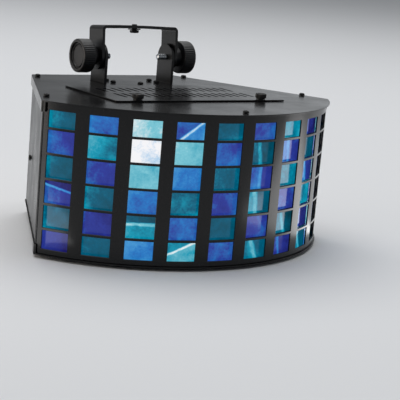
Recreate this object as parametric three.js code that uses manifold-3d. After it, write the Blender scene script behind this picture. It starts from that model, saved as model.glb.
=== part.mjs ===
// A dj effect light: a half-moon steel housing with a curved front of 60 coloured glass windows,
// a lens drum turning round a halogen lamp inside, a vented lamp hatch on top and a hanging yoke.
// Millimetres, +Z up, front towards -Y. The origin is the middle of the object's box, on the floor.
import * as THREE from "three";
import { mergeVertices } from "three/addons/utils/BufferGeometryUtils.js";
import Module from "manifold-3d";

const wasm = await Module();
wasm.setup();

const degree = Math.PI / 180;
const cutOverrun = 2; // how far a cutter runs past the faces that it cuts
const seat = 0.3; // gap left between two pieces that touch

// Housing
const sheet = 1.2; // steel sheet of every cover
const bodyHeight = 143; // underside of the base pan to the top of the cover
const coverOverhang = 3; // how far the cover stands out over the lens panel
const coverArcAngle = 59.6 * degree; // half the angle that the curved front takes up
const rearHalfWidth = 88;
const rearDepth = 75; // from the axis of the curved front back to the rear edge
const coverFlange = 10.5; // height of the cover's folded edge
const coverArcSteps = 31;
const circleSides = 84; // of a whole circle round the curved front's axis

// Feet
const footHeight = 3;
const footRadius = 7;
const footSides = 12;
const footFrontInset = 55.7; // in from the side line
const footFrontAlong = 22.5; // back from the cover's front corner, along the side line
const footRearInset = 26; // in from the rear edge's end
const footRearForward = 24; // forward of the rear edge

// Curved lens panel
const lensRadius = 190; // its outer face
const lensSheet = 1.5;
const columnCount = 10;
const columnPitch = 11.92 * degree;
const windowAngle = 7.92 * degree;
const windowRowShares = [0.15, 0.179, 0.179, 0.179, 0.179, 0.134]; // of the windows' height, lowest first
const windowBar = 2.35; // bar between two rows
const lowestWindow = 6.3; // above the base pan's underside
const highestWindow = 8.2; // below the cover's top
const lensFlange = 20; // depth of the flanges folded in at its top and bottom

// Coloured glass strips, one behind each column of windows
const glassSetback = 5; // from the panel's outer face to the glass
const glassThickness = 2;
const glassGap = 1.2; // between two strips, at their inner faces

// Base pan
const panProud = 1.5; // how far its front edge stands out past the lens panel
const panLip = 14; // height of its folded sides
const tabLength = 12; // corner tab beside each end of the lens panel
const tabInset = 0.8;

// Side panels
const sideOuter = sheet + seat; // from the cover's side line in to a panel's outer face
const sideInner = sideOuter + sheet;
const panInset = sideInner + seat; // from the cover's side line in to the base pan's sides
const sideClearance = 10; // how far they end above the base pan's underside
const sideFlange = 17; // width of the flange under the cover
const sideReturn = 10; // width of the flange in front of the rear panel

// Lamp hatch
const hatchHalfWidth = 98;
const hatchFront = -114;
const hatchOpeningHalfWidth = 88;
const hatchOpeningFront = -102;
const hatchOpeningRear = -13;
const hatchRearGap = 1; // between the hatch and the rear edge of its opening
const hookNeck = 1.2;
const hookReach = 5;
const hookWidth = 14;
const hookX = 58;
const hookGap = 0.6; // between the hook and the cover's underside
const slotCount = 18;
const slotPitch = 8.7;
const slotWidth = 3.4;
const slotLength = 24.5;
const slotRowsY = [-44.5, -80.5];

// Thumb screws of the hatch
const thumbX = 71.5;
const thumbEdge = 6; // from the hatch's front edge
const thumbRadius = 5.5;
const thumbNeck = 4.4;
const thumbNeckHeight = 1;
const thumbChamfer = 0.5;
const thumbHeight = 5.4;
const thumbShank = 2;
const thumbShankLength = 8;
const thumbHole = 2.6;
const thumbCoverHole = 3.2;
const thumbSides = 20;

// Pan-head screws
const screwHead = 3;
const screwHeadHeight = 2.4;
const screwHeadTop = 2.1; // radius of the head's flat top
const screwShank = 1.5;
const screwHole = 1.9;
const screwSides = 10;
const coverScrewLength = 4.5;
const sideScrewInset = 6; // of the cover's side screws, in from the side line
const sideScrewAlong = 27; // back from the cover's front corner, along the side line
const rearScrewInset = 5.5; // of the cover's rear screws, in from the side line
const rearScrewForward = 17; // forward of the rear edge
const frontScrewInset = 11.5; // of the cover's front screw, in from the curved edge
const bracketScrewY = 3; // the single screw that holds the lamp bracket
const sideScrewY = 21;
const sideScrewZ = 69;

// Lower arms of the bracket
const armX = 38.5; // inner face
const barThickness = 3;
const armWidth = 28;
const armCentreY = 20.2;
const pivotHeight = 26.6; // above the cover
const armSides = 20; // of the circle that rounds an arm's end
const footDepth = 16;
const footThickness = 2; // of the foot under the cover
const footScrewX = 26;
const footScrewYs = { front: 14, rear: 28 };

// Yoke
const yokeGap = 0.8; // between a lower arm and the yoke's arm
const yokeWidth = 27;
const yokeReach = 31.2; // pivot to the outside of the crossbar's ends
const yokeCorner = 4.5;
const yokeCornerSteps = 4;
const yokeBow = 0.6; // how far the crossbar's middle stands proud
const yokeFlat = 13; // half the flat middle of the crossbar
const yokeLean = 5 * degree; // tilted back at rest
const hangHole = 3.2;
const hangShank = 2.8;
const hangWasherRadius = 6.5;
const hangWasherThickness = 1.2;
const hangHeadRadius = 4.6;
const hangHeadHeight = 3;
const hexSides = 6;
const hangProud = 1.3;

// Pivot studs, washers and knobs
const studRadius = 3;
const studProud = 9.5; // past the lower arm's inner face
const studHole = 3.4;
const studSides = 12;
const washerSides = 24;
const washerRadius = 7;
const washerThickness = 1.4;
const knobRadius = 17;
const knobRim = 14;
const knobHub = 9.5;
const knobHubLength = 6;
const knobDishRadius = 12.5;
const knobDishDepth = 2.6;
const knobEdge = 1.2;
const knobBoreDepth = 9;
const knobSides = 28;

// Rear panel and what it carries
const inletSide = 42; // from the rear edge's end to its middle
const inletZ = 34;
const inletWidth = 28;
const inletHeight = 22;
const inletDepth = 24;
const inletFlange = 4;
const inletFlangeProud = 2.2;
const inletSocketWall = 3;
const inletSocketDepth = 17;
const inletPinWidth = 2;
const inletPinSpread = 7;
const inletPinLift = 3;
const fuseSpacing = 36; // from the inlet's middle
const fuseRadius = 6;
const fuseFlangeRadius = 8;
const fuseCapHeight = 8;
const fuseCapChamfer = 0.6;
const fuseFlange = 1.6;
const fuseDepth = 26;
const fuseSides = 16;
const dialSpacing = 30; // from the fuse's middle
const dialRadius = 8;
const dialTopRadius = 6.8;
const dialHeight = 13;
const dialShaft = 3;
const dialShaftDepth = 9;
const dialSides = 18;
const fanSide = 44; // from the rear edge's end to its axis
const fanBelowTop = 54; // from the cover's top to its axis
const fanSize = 60;
const fanDepth = 15;
const fanOpening = 28;
const fanHub = 12;
const fanHubDepth = 9;
const fanBlade = 26;
const fanBladeCount = 7;
const fanBladeTwist = 38 * degree;
const fanBladeWidth = 13;
const fanBladeThickness = 1.4;
const fanSpindle = 1.5;
const fanStrut = 4;
const fanStrutSunk = 1; // how far a strut runs into the frame
const fanSides = 24;
const grilleRadius = 26;
const grilleSlots = 8;
const grillePitch = 6.4;
const grilleSlotHeight = 3.4;

// Lens drum, motor and lamp, under the hatch
const drumY = -70;
const drumRadius = 50;
const drumWall = 3;
const drumRibs = 12;
const drumRibDepth = 3;
const drumRibShares = [0, 0.7, 1, 0.7]; // how far a rib stands out, step by step round the ring
const drumFloorZ = 38;
const drumFloor = 2;
const drumTopGap = 10; // between the ring and the lamp's shelf
const drumHub = 8;
const drumHubHeight = 8;
const motorRadius = 25;
const motorHeight = 22;
const motorBoss = 6;
const motorBossHeight = 3;
const motorSides = 24;
const motorShaft = 3;
const motorShaftSunk = 8;
const shelfDrop = 18; // below the cover's top
const shelfThickness = 1.2;
const shelfHalfWidth = 15;
const shelfReach = 16; // past the drum's axis
const bracketFlange = 20;
const holderWidth = 24;
const holderDepth = 16;
const holderHeight = 15;
const lampRadius = 6.5;
const lampTipShares = [0.6, 0.3]; // of its radius: the rounded tip's middle point
const lampLength = 42;
const lampPinch = 4;
const lampPinchLength = 8;
const lampSides = 14;

// Power parts at the rear of the base pan
const transformerX = 42;
const transformerGap = 3.5; // between its coil and the inlet
const transformerCore = [62, 34, 52];
const transformerCoil = [38, 44, 30];
const boardX = -40;
const boardY = 0;
const boardWidth = 66;
const boardDepth = 70;
const boardThickness = 1.6;
const boardStandoff = 8;
const boardPost = 4;
const boardPostInset = 6;
const relayWidth = 22;
const relayDepth = 16;
const relayHeight = 20;
const coolerWidth = 14;
const coolerDepth = 30;
const coolerHeight = 12;
const capacitorWidth = 12;
const capacitorHeight = 26;

// Heights that follow from the sizes above
const panBottom = footHeight;
const panTop = panBottom + sheet;
const coverTop = footHeight + bodyHeight;
const coverUnder = coverTop - sheet;
const coverRadius = lensRadius + coverOverhang;
const cornerX = coverRadius * Math.sin(coverArcAngle);
const cornerY = -coverRadius * Math.cos(coverArcAngle);
const pivotZ = coverTop + pivotHeight;
const armBottom = -pivotHeight - sheet - seat - footThickness; // below the pivot
const rearFace = rearDepth - sheet - seat; // outer face of the rear panel
const hatchRear = hatchOpeningRear - hatchRearGap;
const hatchBottom = coverTop + seat;
const hatchTop = hatchBottom + sheet;
const lensBottom = panTop + seat;
const lensTop = coverUnder - seat;
const washerX = armX + barThickness + yokeGap + barThickness + seat;
const knobX = washerX + washerThickness + seat;
const glassInner = lensRadius - glassSetback - glassThickness;
const glassWidth = 2 * glassInner * Math.tan(columnPitch / 2) - glassGap;
const fanX = fanSide - rearHalfWidth;
const fanZ = coverTop - fanBelowTop;
const inletX = rearHalfWidth - inletSide;
const fuseX = inletX - fuseSpacing;
const dialX = fuseX - dialSpacing;
const transformerY = rearFace - inletDepth - transformerGap - transformerCoil[1] / 2;
const shelfZ = coverTop - shelfDrop;
const ringBottom = drumFloorZ + drumFloor + seat;
const ringTop = shelfZ - drumTopGap;
const boxRear = rearFace + dialHeight + seat; // the dial reaches furthest back
const centring = (coverRadius - boxRear) / 2;
const rotorFront = -fanDepth + fanStrut / 2 + seat * 2; // from the rear panel's inner face

const enamel = new THREE.MeshStandardMaterial({ color: 0x17181a, roughness: 0.25, metalness: 0.3 });
const blackPlastic = new THREE.MeshStandardMaterial({ color: 0x141416, roughness: 0.5, metalness: 0 });
const blackSteel = new THREE.MeshStandardMaterial({ color: 0x101012, roughness: 0.4, metalness: 0.6 });
const zincSteel = new THREE.MeshStandardMaterial({ color: 0xb9bcc0, roughness: 0.3, metalness: 1 });
const aquaGlass = new THREE.MeshStandardMaterial({ color: 0x1fa3b4, roughness: 0.1, metalness: 0.1 });
const blueGlass = new THREE.MeshStandardMaterial({ color: 0x3d54b6, roughness: 0.1, metalness: 0.1 });
const clearGlass = new THREE.MeshStandardMaterial({ color: 0xdfe8ea, roughness: 0.05, metalness: 0 });
const rubber = new THREE.MeshStandardMaterial({ color: 0x1b1b1c, roughness: 0.9, metalness: 0 });
const ceramic = new THREE.MeshStandardMaterial({ color: 0xe6e0d2, roughness: 0.6, metalness: 0 });
const boardGreen = new THREE.MeshStandardMaterial({ color: 0x1f5a38, roughness: 0.5, metalness: 0 });

/** A closed three.js geometry as a solid. */
function solid(geometry) {
  const bare = geometry.clone();
  bare.deleteAttribute("normal");
  bare.deleteAttribute("uv");
  const merged = mergeVertices(bare, 1e-4);
  return new wasm.Manifold(
    new wasm.Mesh({
      numProp: 3,
      vertProperties: merged.attributes.position.array,
      triVerts: new Uint32Array(merged.index.array),
    }),
  );
}

/** A solid as a three.js geometry. */
function geometryOf(body) {
  const mesh = body.getMesh();
  return new THREE.BufferGeometry()
    .setAttribute("position", new THREE.BufferAttribute(new Float32Array(mesh.vertProperties), 3))
    .setIndex(new THREE.BufferAttribute(new Uint32Array(mesh.triVerts), 1));
}

function join(...bodies) {
  return bodies.reduce((whole, body) => whole.add(body));
}

function cut(body, cutters) {
  return cutters.reduce((left, cutter) => left.subtract(cutter), body);
}

/** A block between two corners. */
function block([x0, y0, z0], [x1, y1, z1]) {
  const geometry = new THREE.BoxGeometry(x1 - x0, y1 - y0, z1 - z0);
  geometry.translate((x0 + x1) / 2, (y0 + y1) / 2, (z0 + z1) / 2);
  return solid(geometry);
}

/** An upright prism over a plan outline of [x, y] points. */
function prism(outline, bottom, top) {
  const shape = new THREE.Shape(outline.map(([x, y]) => new THREE.Vector2(x, y)));
  const geometry = new THREE.ExtrudeGeometry(shape, { depth: top - bottom, bevelEnabled: false });
  geometry.translate(0, 0, bottom);
  return solid(geometry);
}

/** A body of revolution about Z from [radius, z] points that start and end on the axis. */
function turned(profile, sides) {
  const points = profile.map(([radius, z]) => new THREE.Vector2(radius, z));
  const geometry = new THREE.LatheGeometry(points, sides);
  geometry.rotateX(Math.PI / 2);
  return solid(geometry);
}

/** An upright round bar. */
function bar(radius, bottom, top, sides) {
  return turned([[0, bottom], [radius, bottom], [radius, top], [0, top]], sides);
}

/** Turns a body made along +Z so that it points along +X or -X. */
function alongX(body, side) {
  return body.rotate([0, side * 90, 0]);
}

/** Turns a body made along +Z so that it points along +Y. */
function alongY(body) {
  return body.rotate([-90, 0, 0]);
}

function mirrored(points) {
  return points.map(([x, y]) => [-x, y]).reverse();
}

const sideLength = Math.hypot(rearHalfWidth - cornerX, rearDepth - cornerY);
const sideAlong = [(rearHalfWidth - cornerX) / sideLength, (rearDepth - cornerY) / sideLength];
const sideInward = [-sideAlong[1], sideAlong[0]];
const sideAngle = Math.atan2(-sideInward[1], -sideInward[0]);

/** A point beside the right-hand side line: so far inward of it, so far along it from the corner. */
function besideSide(inset, along) {
  return [0, 1].map((i) => [cornerX, cornerY][i] + sideInward[i] * inset + sideAlong[i] * along);
}

/** Where the side line, moved inward, meets the circle of a radius round the front's axis. */
function frontCorner(radius, inset) {
  const [x, y] = besideSide(inset, 0);
  const half = x * sideAlong[0] + y * sideAlong[1];
  const along = -half - Math.sqrt(half * half - (x * x + y * y - radius * radius));
  return besideSide(inset, along);
}

/** Where the side line, moved inward, reaches a depth at the rear. */
function rearCorner(inset, y) {
  const [, y0] = besideSide(inset, 0);
  return besideSide(inset, (y - y0) / sideAlong[1]);
}

const [sideScrewX, sideScrewBack] = besideSide(sideScrewInset, sideScrewAlong);
const [rearScrewX] = rearCorner(rearScrewInset, rearDepth - rearScrewForward);
const coverScrewPlaces = {
  rear_left: [-rearScrewX, rearDepth - rearScrewForward],
  rear_right: [rearScrewX, rearDepth - rearScrewForward],
  side_left: [-sideScrewX, sideScrewBack],
  side_right: [sideScrewX, sideScrewBack],
  front: [0, frontScrewInset - coverRadius],
};

function onArc(radius, angle) {
  return [radius * Math.sin(angle), -radius * Math.cos(angle)];
}

/** Points of the curved front from the right end to the left end, both included. */
function arcPoints(radius, halfAngle, steps) {
  return Array.from({ length: steps + 1 }, (_, i) => onArc(radius, halfAngle * (1 - (2 * i) / steps)));
}

/** The half-moon plan of the housing at a radius, its sides and rear moved inward. */
function halfMoon(radius, inset, rearInset) {
  const corner = frontCorner(radius, inset);
  const halfAngle = Math.atan2(corner[0], -corner[1]);
  const rear = rearCorner(inset, rearDepth - rearInset);
  return [...arcPoints(radius, halfAngle, coverArcSteps), [-rear[0], rear[1]], rear];
}

/** A pan-head screw standing on z = 0 of its own frame, its shank pointing down. */
function screwSolid(length) {
  return turned(
    [
      [0, -length],
      [screwShank, -length],
      [screwShank, 0],
      [screwHead, 0],
      [screwHead, screwHeadHeight / 2],
      [screwHeadTop, screwHeadHeight],
      [0, screwHeadHeight],
    ],
    screwSides,
  );
}

function holeThrough([x, y], radius, bottom, top, sides) {
  return bar(radius, bottom - cutOverrun, top + cutOverrun, sides).translate([x, y, 0]);
}

function makeBasePan() {
  const outline = halfMoon(lensRadius + panProud, panInset, 0);
  const plate = prism(outline, panBottom, panTop);
  const [hollowX, hollowY] = rearCorner(panInset + sheet, rearDepth - sheet);
  const front = besideSide(panInset + sheet, -lensRadius / 2);
  const inside = [[-hollowX, hollowY], [-front[0], front[1]], front, [hollowX, hollowY]];
  const hollow = prism(inside, panTop, coverTop);
  const behindLens = bar(lensRadius - lensFlange - seat, panBottom, coverTop, circleSides);
  const behindAxis = block([-lensRadius, 0, panBottom], [lensRadius, lensRadius, coverTop]);
  const rim = prism(outline, panBottom, panBottom + panLip).subtract(hollow);
  const lips = rim.intersect(join(behindLens, behindAxis));
  const tab = (inset) => {
    const ends = [tabInset, inset].map((depth) => frontCorner(lensRadius + panProud, depth));
    const back = ends.map(([x, y]) => [x + sideAlong[0] * tabLength, y + sideAlong[1] * tabLength]);
    return [ends[0], back[0], back[1], ends[1]];
  };
  const tabTop = panBottom + sideClearance - seat;
  const tabs = [
    [tab(panInset + sheet), panTop],
    [tab(panInset - seat), tabTop],
  ].flatMap(([points, top]) => [prism(points, panBottom, top), prism(mirrored(points), panBottom, top)]);
  return join(plate, lips, ...tabs);
}

/** Places a body made along +Z square to a side panel's outer face. */
function onSide(body, side, y, z) {
  const [x] = rearCorner(sideOuter, y);
  return alongX(body, side)
    .rotate([0, 0, (side * sideAngle) / degree])
    .translate([side * x, y, z]);
}

function makeSidePanel(side) {
  const rearY = rearFace - sheet - seat;
  const web = [
    frontCorner(lensRadius, sideOuter),
    rearCorner(sideOuter, rearY),
    rearCorner(sideInner, rearY),
    frontCorner(lensRadius, sideInner),
  ];
  const [returnX] = rearCorner(sideInner, rearY - sheet);
  const rearReturn = [
    rearCorner(sideOuter, rearY),
    [returnX - sideReturn, rearY],
    [returnX - sideReturn, rearY - sheet],
    rearCorner(sideOuter, rearY - sheet),
  ];
  const shelfRadius = lensRadius - lensFlange - seat;
  const shelf = [
    frontCorner(shelfRadius, sideOuter),
    rearCorner(sideOuter, rearY),
    rearCorner(sideOuter + sideFlange, rearY),
    frontCorner(shelfRadius, sideOuter + sideFlange),
  ];
  const place = (points) => (side > 0 ? points : mirrored(points));
  const folded = join(
    prism(place(web), panBottom + sideClearance, lensTop),
    prism(place(rearReturn), panBottom + panLip + seat, lensTop),
    prism(place(shelf), lensTop - sheet, lensTop),
  );
  const bore = bar(screwHole, -coverScrewLength, cutOverrun, screwSides);
  return cut(folded, [
    ...coverHoles(lensTop - sheet, lensTop),
    onSide(bore, side, sideScrewY, sideScrewZ),
  ]);
}

function coverHoles(bottom, top) {
  const places = Object.values(coverScrewPlaces);
  return places.map((place) => holeThrough(place, screwHole, bottom, top, screwSides));
}

function makeRearPanel() {
  const [halfWidth] = rearCorner(panInset + sheet + seat, rearFace);
  const plate = block([-halfWidth, rearFace - sheet, panTop + seat], [halfWidth, rearFace, lensTop]);
  const through = (x0, x1, z0, z1) =>
    block([x0, rearFace - sheet - cutOverrun, z0], [x1, rearFace + cutOverrun, z1]);
  const roundHole = (x, z, radius, sides) =>
    alongY(bar(radius, -sheet - cutOverrun, cutOverrun, sides)).translate([x, rearFace, z]);
  const grille = Array.from({ length: grilleSlots }, (_, i) => {
    const lift = (i - (grilleSlots - 1) / 2) * grillePitch;
    const reach = Math.sqrt(grilleRadius * grilleRadius - lift * lift);
    const z = fanZ + lift;
    return through(fanX - reach, fanX + reach, z - grilleSlotHeight / 2, z + grilleSlotHeight / 2);
  });
  return cut(plate, [
    ...grille,
    through(
      inletX - inletWidth / 2 - seat,
      inletX + inletWidth / 2 + seat,
      inletZ - inletHeight / 2 - seat,
      inletZ + inletHeight / 2 + seat,
    ),
    roundHole(fuseX, inletZ, fuseRadius + seat, fuseSides),
    roundHole(dialX, inletZ, dialShaft + seat, dialSides),
  ]);
}

function makeTopCover() {
  const whole = prism(halfMoon(coverRadius, 0, 0), coverTop - coverFlange, coverTop);
  const [hollowX, hollowY] = rearCorner(sheet, rearDepth - sheet);
  const front = besideSide(sheet, -coverRadius);
  const hollow = [[-hollowX, hollowY], [-front[0], front[1]], front, [hollowX, hollowY]];
  const opening = block(
    [-hatchOpeningHalfWidth, hatchOpeningFront, coverUnder - cutOverrun],
    [hatchOpeningHalfWidth, hatchOpeningRear, coverTop + cutOverrun],
  );
  const footHoles = Object.values(footScrewYs).flatMap((y) =>
    [-footScrewX, footScrewX].map((x) => holeThrough([x, y], screwHole, coverUnder, coverTop, screwSides)),
  );
  const thumbHoles = [-thumbX, thumbX].map((x) =>
    holeThrough([x, hatchFront + thumbEdge], thumbCoverHole, coverUnder, coverTop, thumbSides),
  );
  const armSlots = [-armX - barThickness, armX].map((x) =>
    block(
      [x - seat, armCentreY - armWidth / 2 - seat, coverUnder - cutOverrun],
      [x + barThickness + seat, armCentreY + armWidth / 2 + seat, coverTop + cutOverrun],
    ),
  );
  return cut(whole, [
    prism(hollow, coverTop - coverFlange - cutOverrun, coverUnder),
    opening,
    ...coverHoles(coverUnder, coverTop),
    ...footHoles,
    ...thumbHoles,
    ...armSlots,
    holeThrough([0, bracketScrewY], screwHole, coverUnder, coverTop, screwSides),
  ]);
}

/** The angle of a column's middle, the first column at the left end of the front. */
function columnAngle(column) {
  return (column - (columnCount - 1) / 2) * columnPitch;
}

function makeLensPanel() {
  const [endX, endY] = frontCorner(lensRadius, panInset);
  const end = Math.atan2(endX, -endY);
  const columns = Array.from({ length: columnCount }, (_, i) => columnAngle(i));
  const windowStops = columns.flatMap((angle) => [angle - windowAngle / 2, angle, angle + windowAngle / 2]);
  const stops = [-end, ...windowStops, end];
  const sector = (outer, inner) => [
    ...stops.map((angle) => onArc(outer, angle)),
    ...stops.toReversed().map((angle) => onArc(inner, angle)),
  ];
  const wall = prism(sector(lensRadius, lensRadius - lensSheet), lensBottom, lensTop);
  const flange = sector(lensRadius - lensSheet / 2, lensRadius - lensFlange);
  const windows = [];
  const bars = windowBar * (windowRowShares.length - 1);
  const clearHeight = coverTop - highestWindow - panBottom - lowestWindow - bars;
  let bottom = panBottom + lowestWindow;
  for (const share of windowRowShares) {
    const height = clearHeight * share;
    for (const angle of columns) {
      const wedge = [
        onArc(lensRadius + cutOverrun, angle - windowAngle / 2),
        onArc(lensRadius + cutOverrun, angle + windowAngle / 2),
        onArc(lensRadius - lensSheet - cutOverrun, angle + windowAngle / 2),
        onArc(lensRadius - lensSheet - cutOverrun, angle - windowAngle / 2),
      ];
      windows.push(prism(wedge, bottom, bottom + height));
    }
    bottom += height + windowBar;
  }
  const pierced = cut(wall, [wasm.Manifold.compose(windows)]);
  const flanges = [prism(flange, lensBottom, lensBottom + sheet), prism(flange, lensTop - sheet, lensTop)];
  return cut(join(pierced, ...flanges), [
    holeThrough(coverScrewPlaces.front, screwHole, lensTop - sheet, lensTop, screwSides),
  ]);
}

function makeGlassStrip() {
  const bottom = lensBottom + sheet + seat;
  const top = lensTop - sheet - seat;
  return block([-glassWidth / 2, 0, bottom], [glassWidth / 2, glassThickness, top]);
}

function makeHatch() {
  const plate = block([-hatchHalfWidth, hatchFront, hatchBottom], [hatchHalfWidth, hatchRear, hatchTop]);
  const hookTop = coverUnder - hookGap;
  const hooks = [-hookX, hookX].map((x) => {
    const corner = [x - hookWidth / 2, hatchRear - hookNeck, hookTop - sheet];
    const neck = block(corner, [x + hookWidth / 2, hatchRear, hatchTop]);
    return join(neck, block(corner, [x + hookWidth / 2, hatchOpeningRear + hookReach, hookTop]));
  });
  const slots = slotRowsY.flatMap((y) =>
    Array.from({ length: slotCount }, (_, i) => {
      const x = (i - (slotCount - 1) / 2) * slotPitch;
      return block(
        [x - slotWidth / 2, y - slotLength / 2, hatchBottom - cutOverrun],
        [x + slotWidth / 2, y + slotLength / 2, hatchTop + cutOverrun],
      );
    }),
  );
  const holes = [-thumbX, thumbX].map((x) =>
    holeThrough([x, hatchFront + thumbEdge], thumbHole, hatchBottom, hatchTop, thumbSides),
  );
  return cut(join(plate, ...hooks), [wasm.Manifold.compose(slots), ...holes]);
}

function makeThumbScrew() {
  return turned(
    [
      [0, -thumbShankLength],
      [thumbShank, -thumbShankLength],
      [thumbShank, 0],
      [thumbNeck, 0],
      [thumbNeck, thumbNeckHeight],
      [thumbRadius, thumbNeckHeight],
      [thumbRadius, thumbHeight - thumbChamfer],
      [thumbRadius - thumbChamfer, thumbHeight],
      [0, thumbHeight],
    ],
    thumbSides,
  );
}

/** A flat strap that stands along Y and Z, its top or lower end rounded about the pivot. */
function strap(x0, x1, halfWidth, farZ) {
  const round = alongX(bar(halfWidth, x0, x1, armSides), 1);
  return join(round, block([x0, -halfWidth, Math.min(0, farZ)], [x1, halfWidth, Math.max(0, farZ)]));
}

function makeArm(side) {
  const web = strap(armX, armX + barThickness, armWidth / 2, armBottom);
  const foot = block(
    [armX - footDepth, -armWidth / 2, armBottom],
    [armX + barThickness / 2, armWidth / 2, armBottom + footThickness],
  );
  const bore = alongX(bar(studHole, armX - cutOverrun, armX + barThickness + cutOverrun, studSides), 1);
  const screwHoles = Object.values(footScrewYs).map((y) =>
    holeThrough([footScrewX, y - armCentreY], screwHole, armBottom, armBottom + footThickness, screwSides),
  );
  const arm = cut(join(web, foot), [bore, ...screwHoles]);
  return side > 0 ? arm : arm.mirror([1, 0, 0]);
}

/** Half of the yoke's outline seen from the front, from the crossbar's middle down to an arm's end. */
function yokeHalf(offset) {
  const outerX = armX + barThickness + yokeGap + barThickness - offset;
  const top = yokeReach - offset;
  const radius = yokeCorner - offset;
  const corner = Array.from({ length: yokeCornerSteps + 1 }, (_, i) => {
    const angle = (i / yokeCornerSteps) * 90 * degree;
    return [outerX - radius + radius * Math.sin(angle), top - radius + radius * Math.cos(angle)];
  });
  return [[yokeFlat, top + yokeBow], ...corner, [outerX, -yokeWidth]];
}

function makeYoke() {
  const outside = yokeHalf(0);
  const inside = yokeHalf(barThickness);
  const outline = [
    ...mirrored(outside),
    ...outside,
    ...inside.toReversed(),
    ...mirrored(inside).toReversed(),
  ];
  const band = prism(outline, -yokeWidth / 2, yokeWidth / 2).rotate([90, 0, 0]);
  const outerX = outside.at(-1)[0];
  const ends = join(
    alongX(bar(yokeWidth / 2, -outerX, outerX, armSides), 1),
    block([-outerX, -yokeWidth / 2, 0], [outerX, yokeWidth / 2, yokeReach + yokeBow]),
  );
  return cut(band.intersect(ends), [
    alongX(bar(studHole, -outerX - cutOverrun, outerX + cutOverrun, studSides), 1),
    bar(hangHole, yokeReach - barThickness - cutOverrun, yokeReach + yokeBow + cutOverrun, studSides),
  ]);
}

function makeHangingBolt() {
  const top = yokeReach + yokeBow + hangProud;
  const under = yokeReach + yokeBow - barThickness - seat - hangWasherThickness - seat;
  return join(
    bar(hangHeadRadius, under - hangHeadHeight, under, hexSides),
    bar(hangShank, under - hangHeadHeight / 2, top, studSides),
  );
}

/** A flat ring standing on z = 0. */
function ring(outer, inner, thickness, sides) {
  return bar(outer, 0, thickness, sides).subtract(bar(inner, -cutOverrun, thickness + cutOverrun, sides));
}

/** A clamp knob, its hub face on z = 0 and its dished face outward. */
function makeKnob() {
  const length = knobHubLength + knobRim;
  return turned(
    [
      [0, knobBoreDepth],
      [studHole, knobBoreDepth],
      [studHole, 0],
      [knobHub, 0],
      [knobHub, knobHubLength],
      [knobRadius - knobEdge, knobHubLength],
      [knobRadius, knobHubLength + knobEdge],
      [knobRadius, length - knobEdge],
      [knobRadius - knobEdge, length],
      [knobDishRadius, length],
      [knobDishRadius - knobEdge, length - knobDishDepth],
      [0, length - knobDishDepth],
    ],
    knobSides,
  );
}

function makeInlet() {
  const halfX = inletWidth / 2;
  const halfZ = inletHeight / 2;
  const face = seat + inletFlangeProud;
  const shell = join(
    block([-halfX, -inletDepth, -halfZ], [halfX, seat + inletFlangeProud / 2, halfZ]),
    block(
      [-halfX - inletFlange, seat, -halfZ - inletFlange],
      [halfX + inletFlange, face, halfZ + inletFlange],
    ),
  );
  const socket = block(
    [-halfX + inletSocketWall, face - inletSocketDepth, -halfZ + inletSocketWall],
    [halfX - inletSocketWall, face + cutOverrun, halfZ - inletSocketWall],
  );
  const pinPlaces = [[-inletPinSpread, -inletPinLift], [0, inletPinLift], [inletPinSpread, -inletPinLift]];
  const pins = pinPlaces.map(([x, z]) =>
    block(
      [x - inletPinWidth / 2, -inletSocketDepth, z - inletPinWidth],
      [x + inletPinWidth / 2, 0, z + inletPinWidth],
    ),
  );
  return join(shell.subtract(socket), ...pins);
}

function makeFuseHolder() {
  return join(
    alongY(bar(fuseRadius, -fuseDepth, seat, fuseSides)),
    alongY(bar(fuseFlangeRadius, seat, seat + fuseFlange, fuseSides)),
  );
}

/** The fuse holder's screw cap, standing on y = 0. */
function makeFuseCap() {
  const profile = [
    [0, 0],
    [fuseRadius, 0],
    [fuseRadius, fuseCapHeight - fuseCapChamfer],
    [fuseRadius - fuseCapChamfer, fuseCapHeight],
    [0, fuseCapHeight],
  ];
  return alongY(turned(profile, fuseSides));
}

function makeDial() {
  return alongY(
    turned(
      [
        [0, -dialShaftDepth],
        [dialShaft, -dialShaftDepth],
        [dialShaft, seat],
        [dialRadius, seat],
        [dialTopRadius, dialHeight + seat],
        [0, dialHeight + seat],
      ],
      dialSides,
    ),
  );
}

/** The fan's square frame, its rear face on y = 0, with four struts to a motor boss. */
function makeFanFrame() {
  const half = fanSize / 2;
  const outside = block([-half, -fanDepth, -half], [half, 0, half]);
  const tunnel = alongY(bar(fanOpening, -fanDepth - cutOverrun, cutOverrun, fanSides));
  const reach = fanOpening + fanStrutSunk;
  const struts = [
    block([-reach, -fanDepth, -fanStrut / 2], [reach, -fanDepth + fanStrut / 2, fanStrut / 2]),
    block([-fanStrut / 2, -fanDepth, -reach], [fanStrut / 2, -fanDepth + fanStrut / 2, reach]),
  ];
  const boss = alongY(bar(fanHub, -fanDepth, -fanDepth + fanStrut / 2, fanSides));
  const spindle = alongY(bar(fanSpindle, -fanDepth, rotorFront + fanHubDepth - sheet - seat, screwSides));
  return join(outside.subtract(tunnel), ...struts, boss, spindle);
}

/** The fan's rotor: a cup that turns on the spindle, with twisted blades. */
function makeFanRotor() {
  const cup = alongY(
    bar(fanHub, rotorFront, rotorFront + fanHubDepth, fanSides).subtract(
      bar(fanSpindle + seat, rotorFront - cutOverrun, rotorFront + fanHubDepth - sheet, screwSides),
    ),
  );
  const blades = Array.from({ length: fanBladeCount }, (_, i) =>
    block(
      [fanHub - sheet, -fanBladeThickness / 2, -fanBladeWidth / 2],
      [fanBlade, fanBladeThickness / 2, fanBladeWidth / 2],
    )
      .rotate([fanBladeTwist / degree, 0, 0])
      .translate([0, rotorFront + fanHubDepth / 2, 0])
      .rotate([0, (i * 360) / fanBladeCount, 0]),
  );
  return join(cup, ...blades);
}

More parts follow.
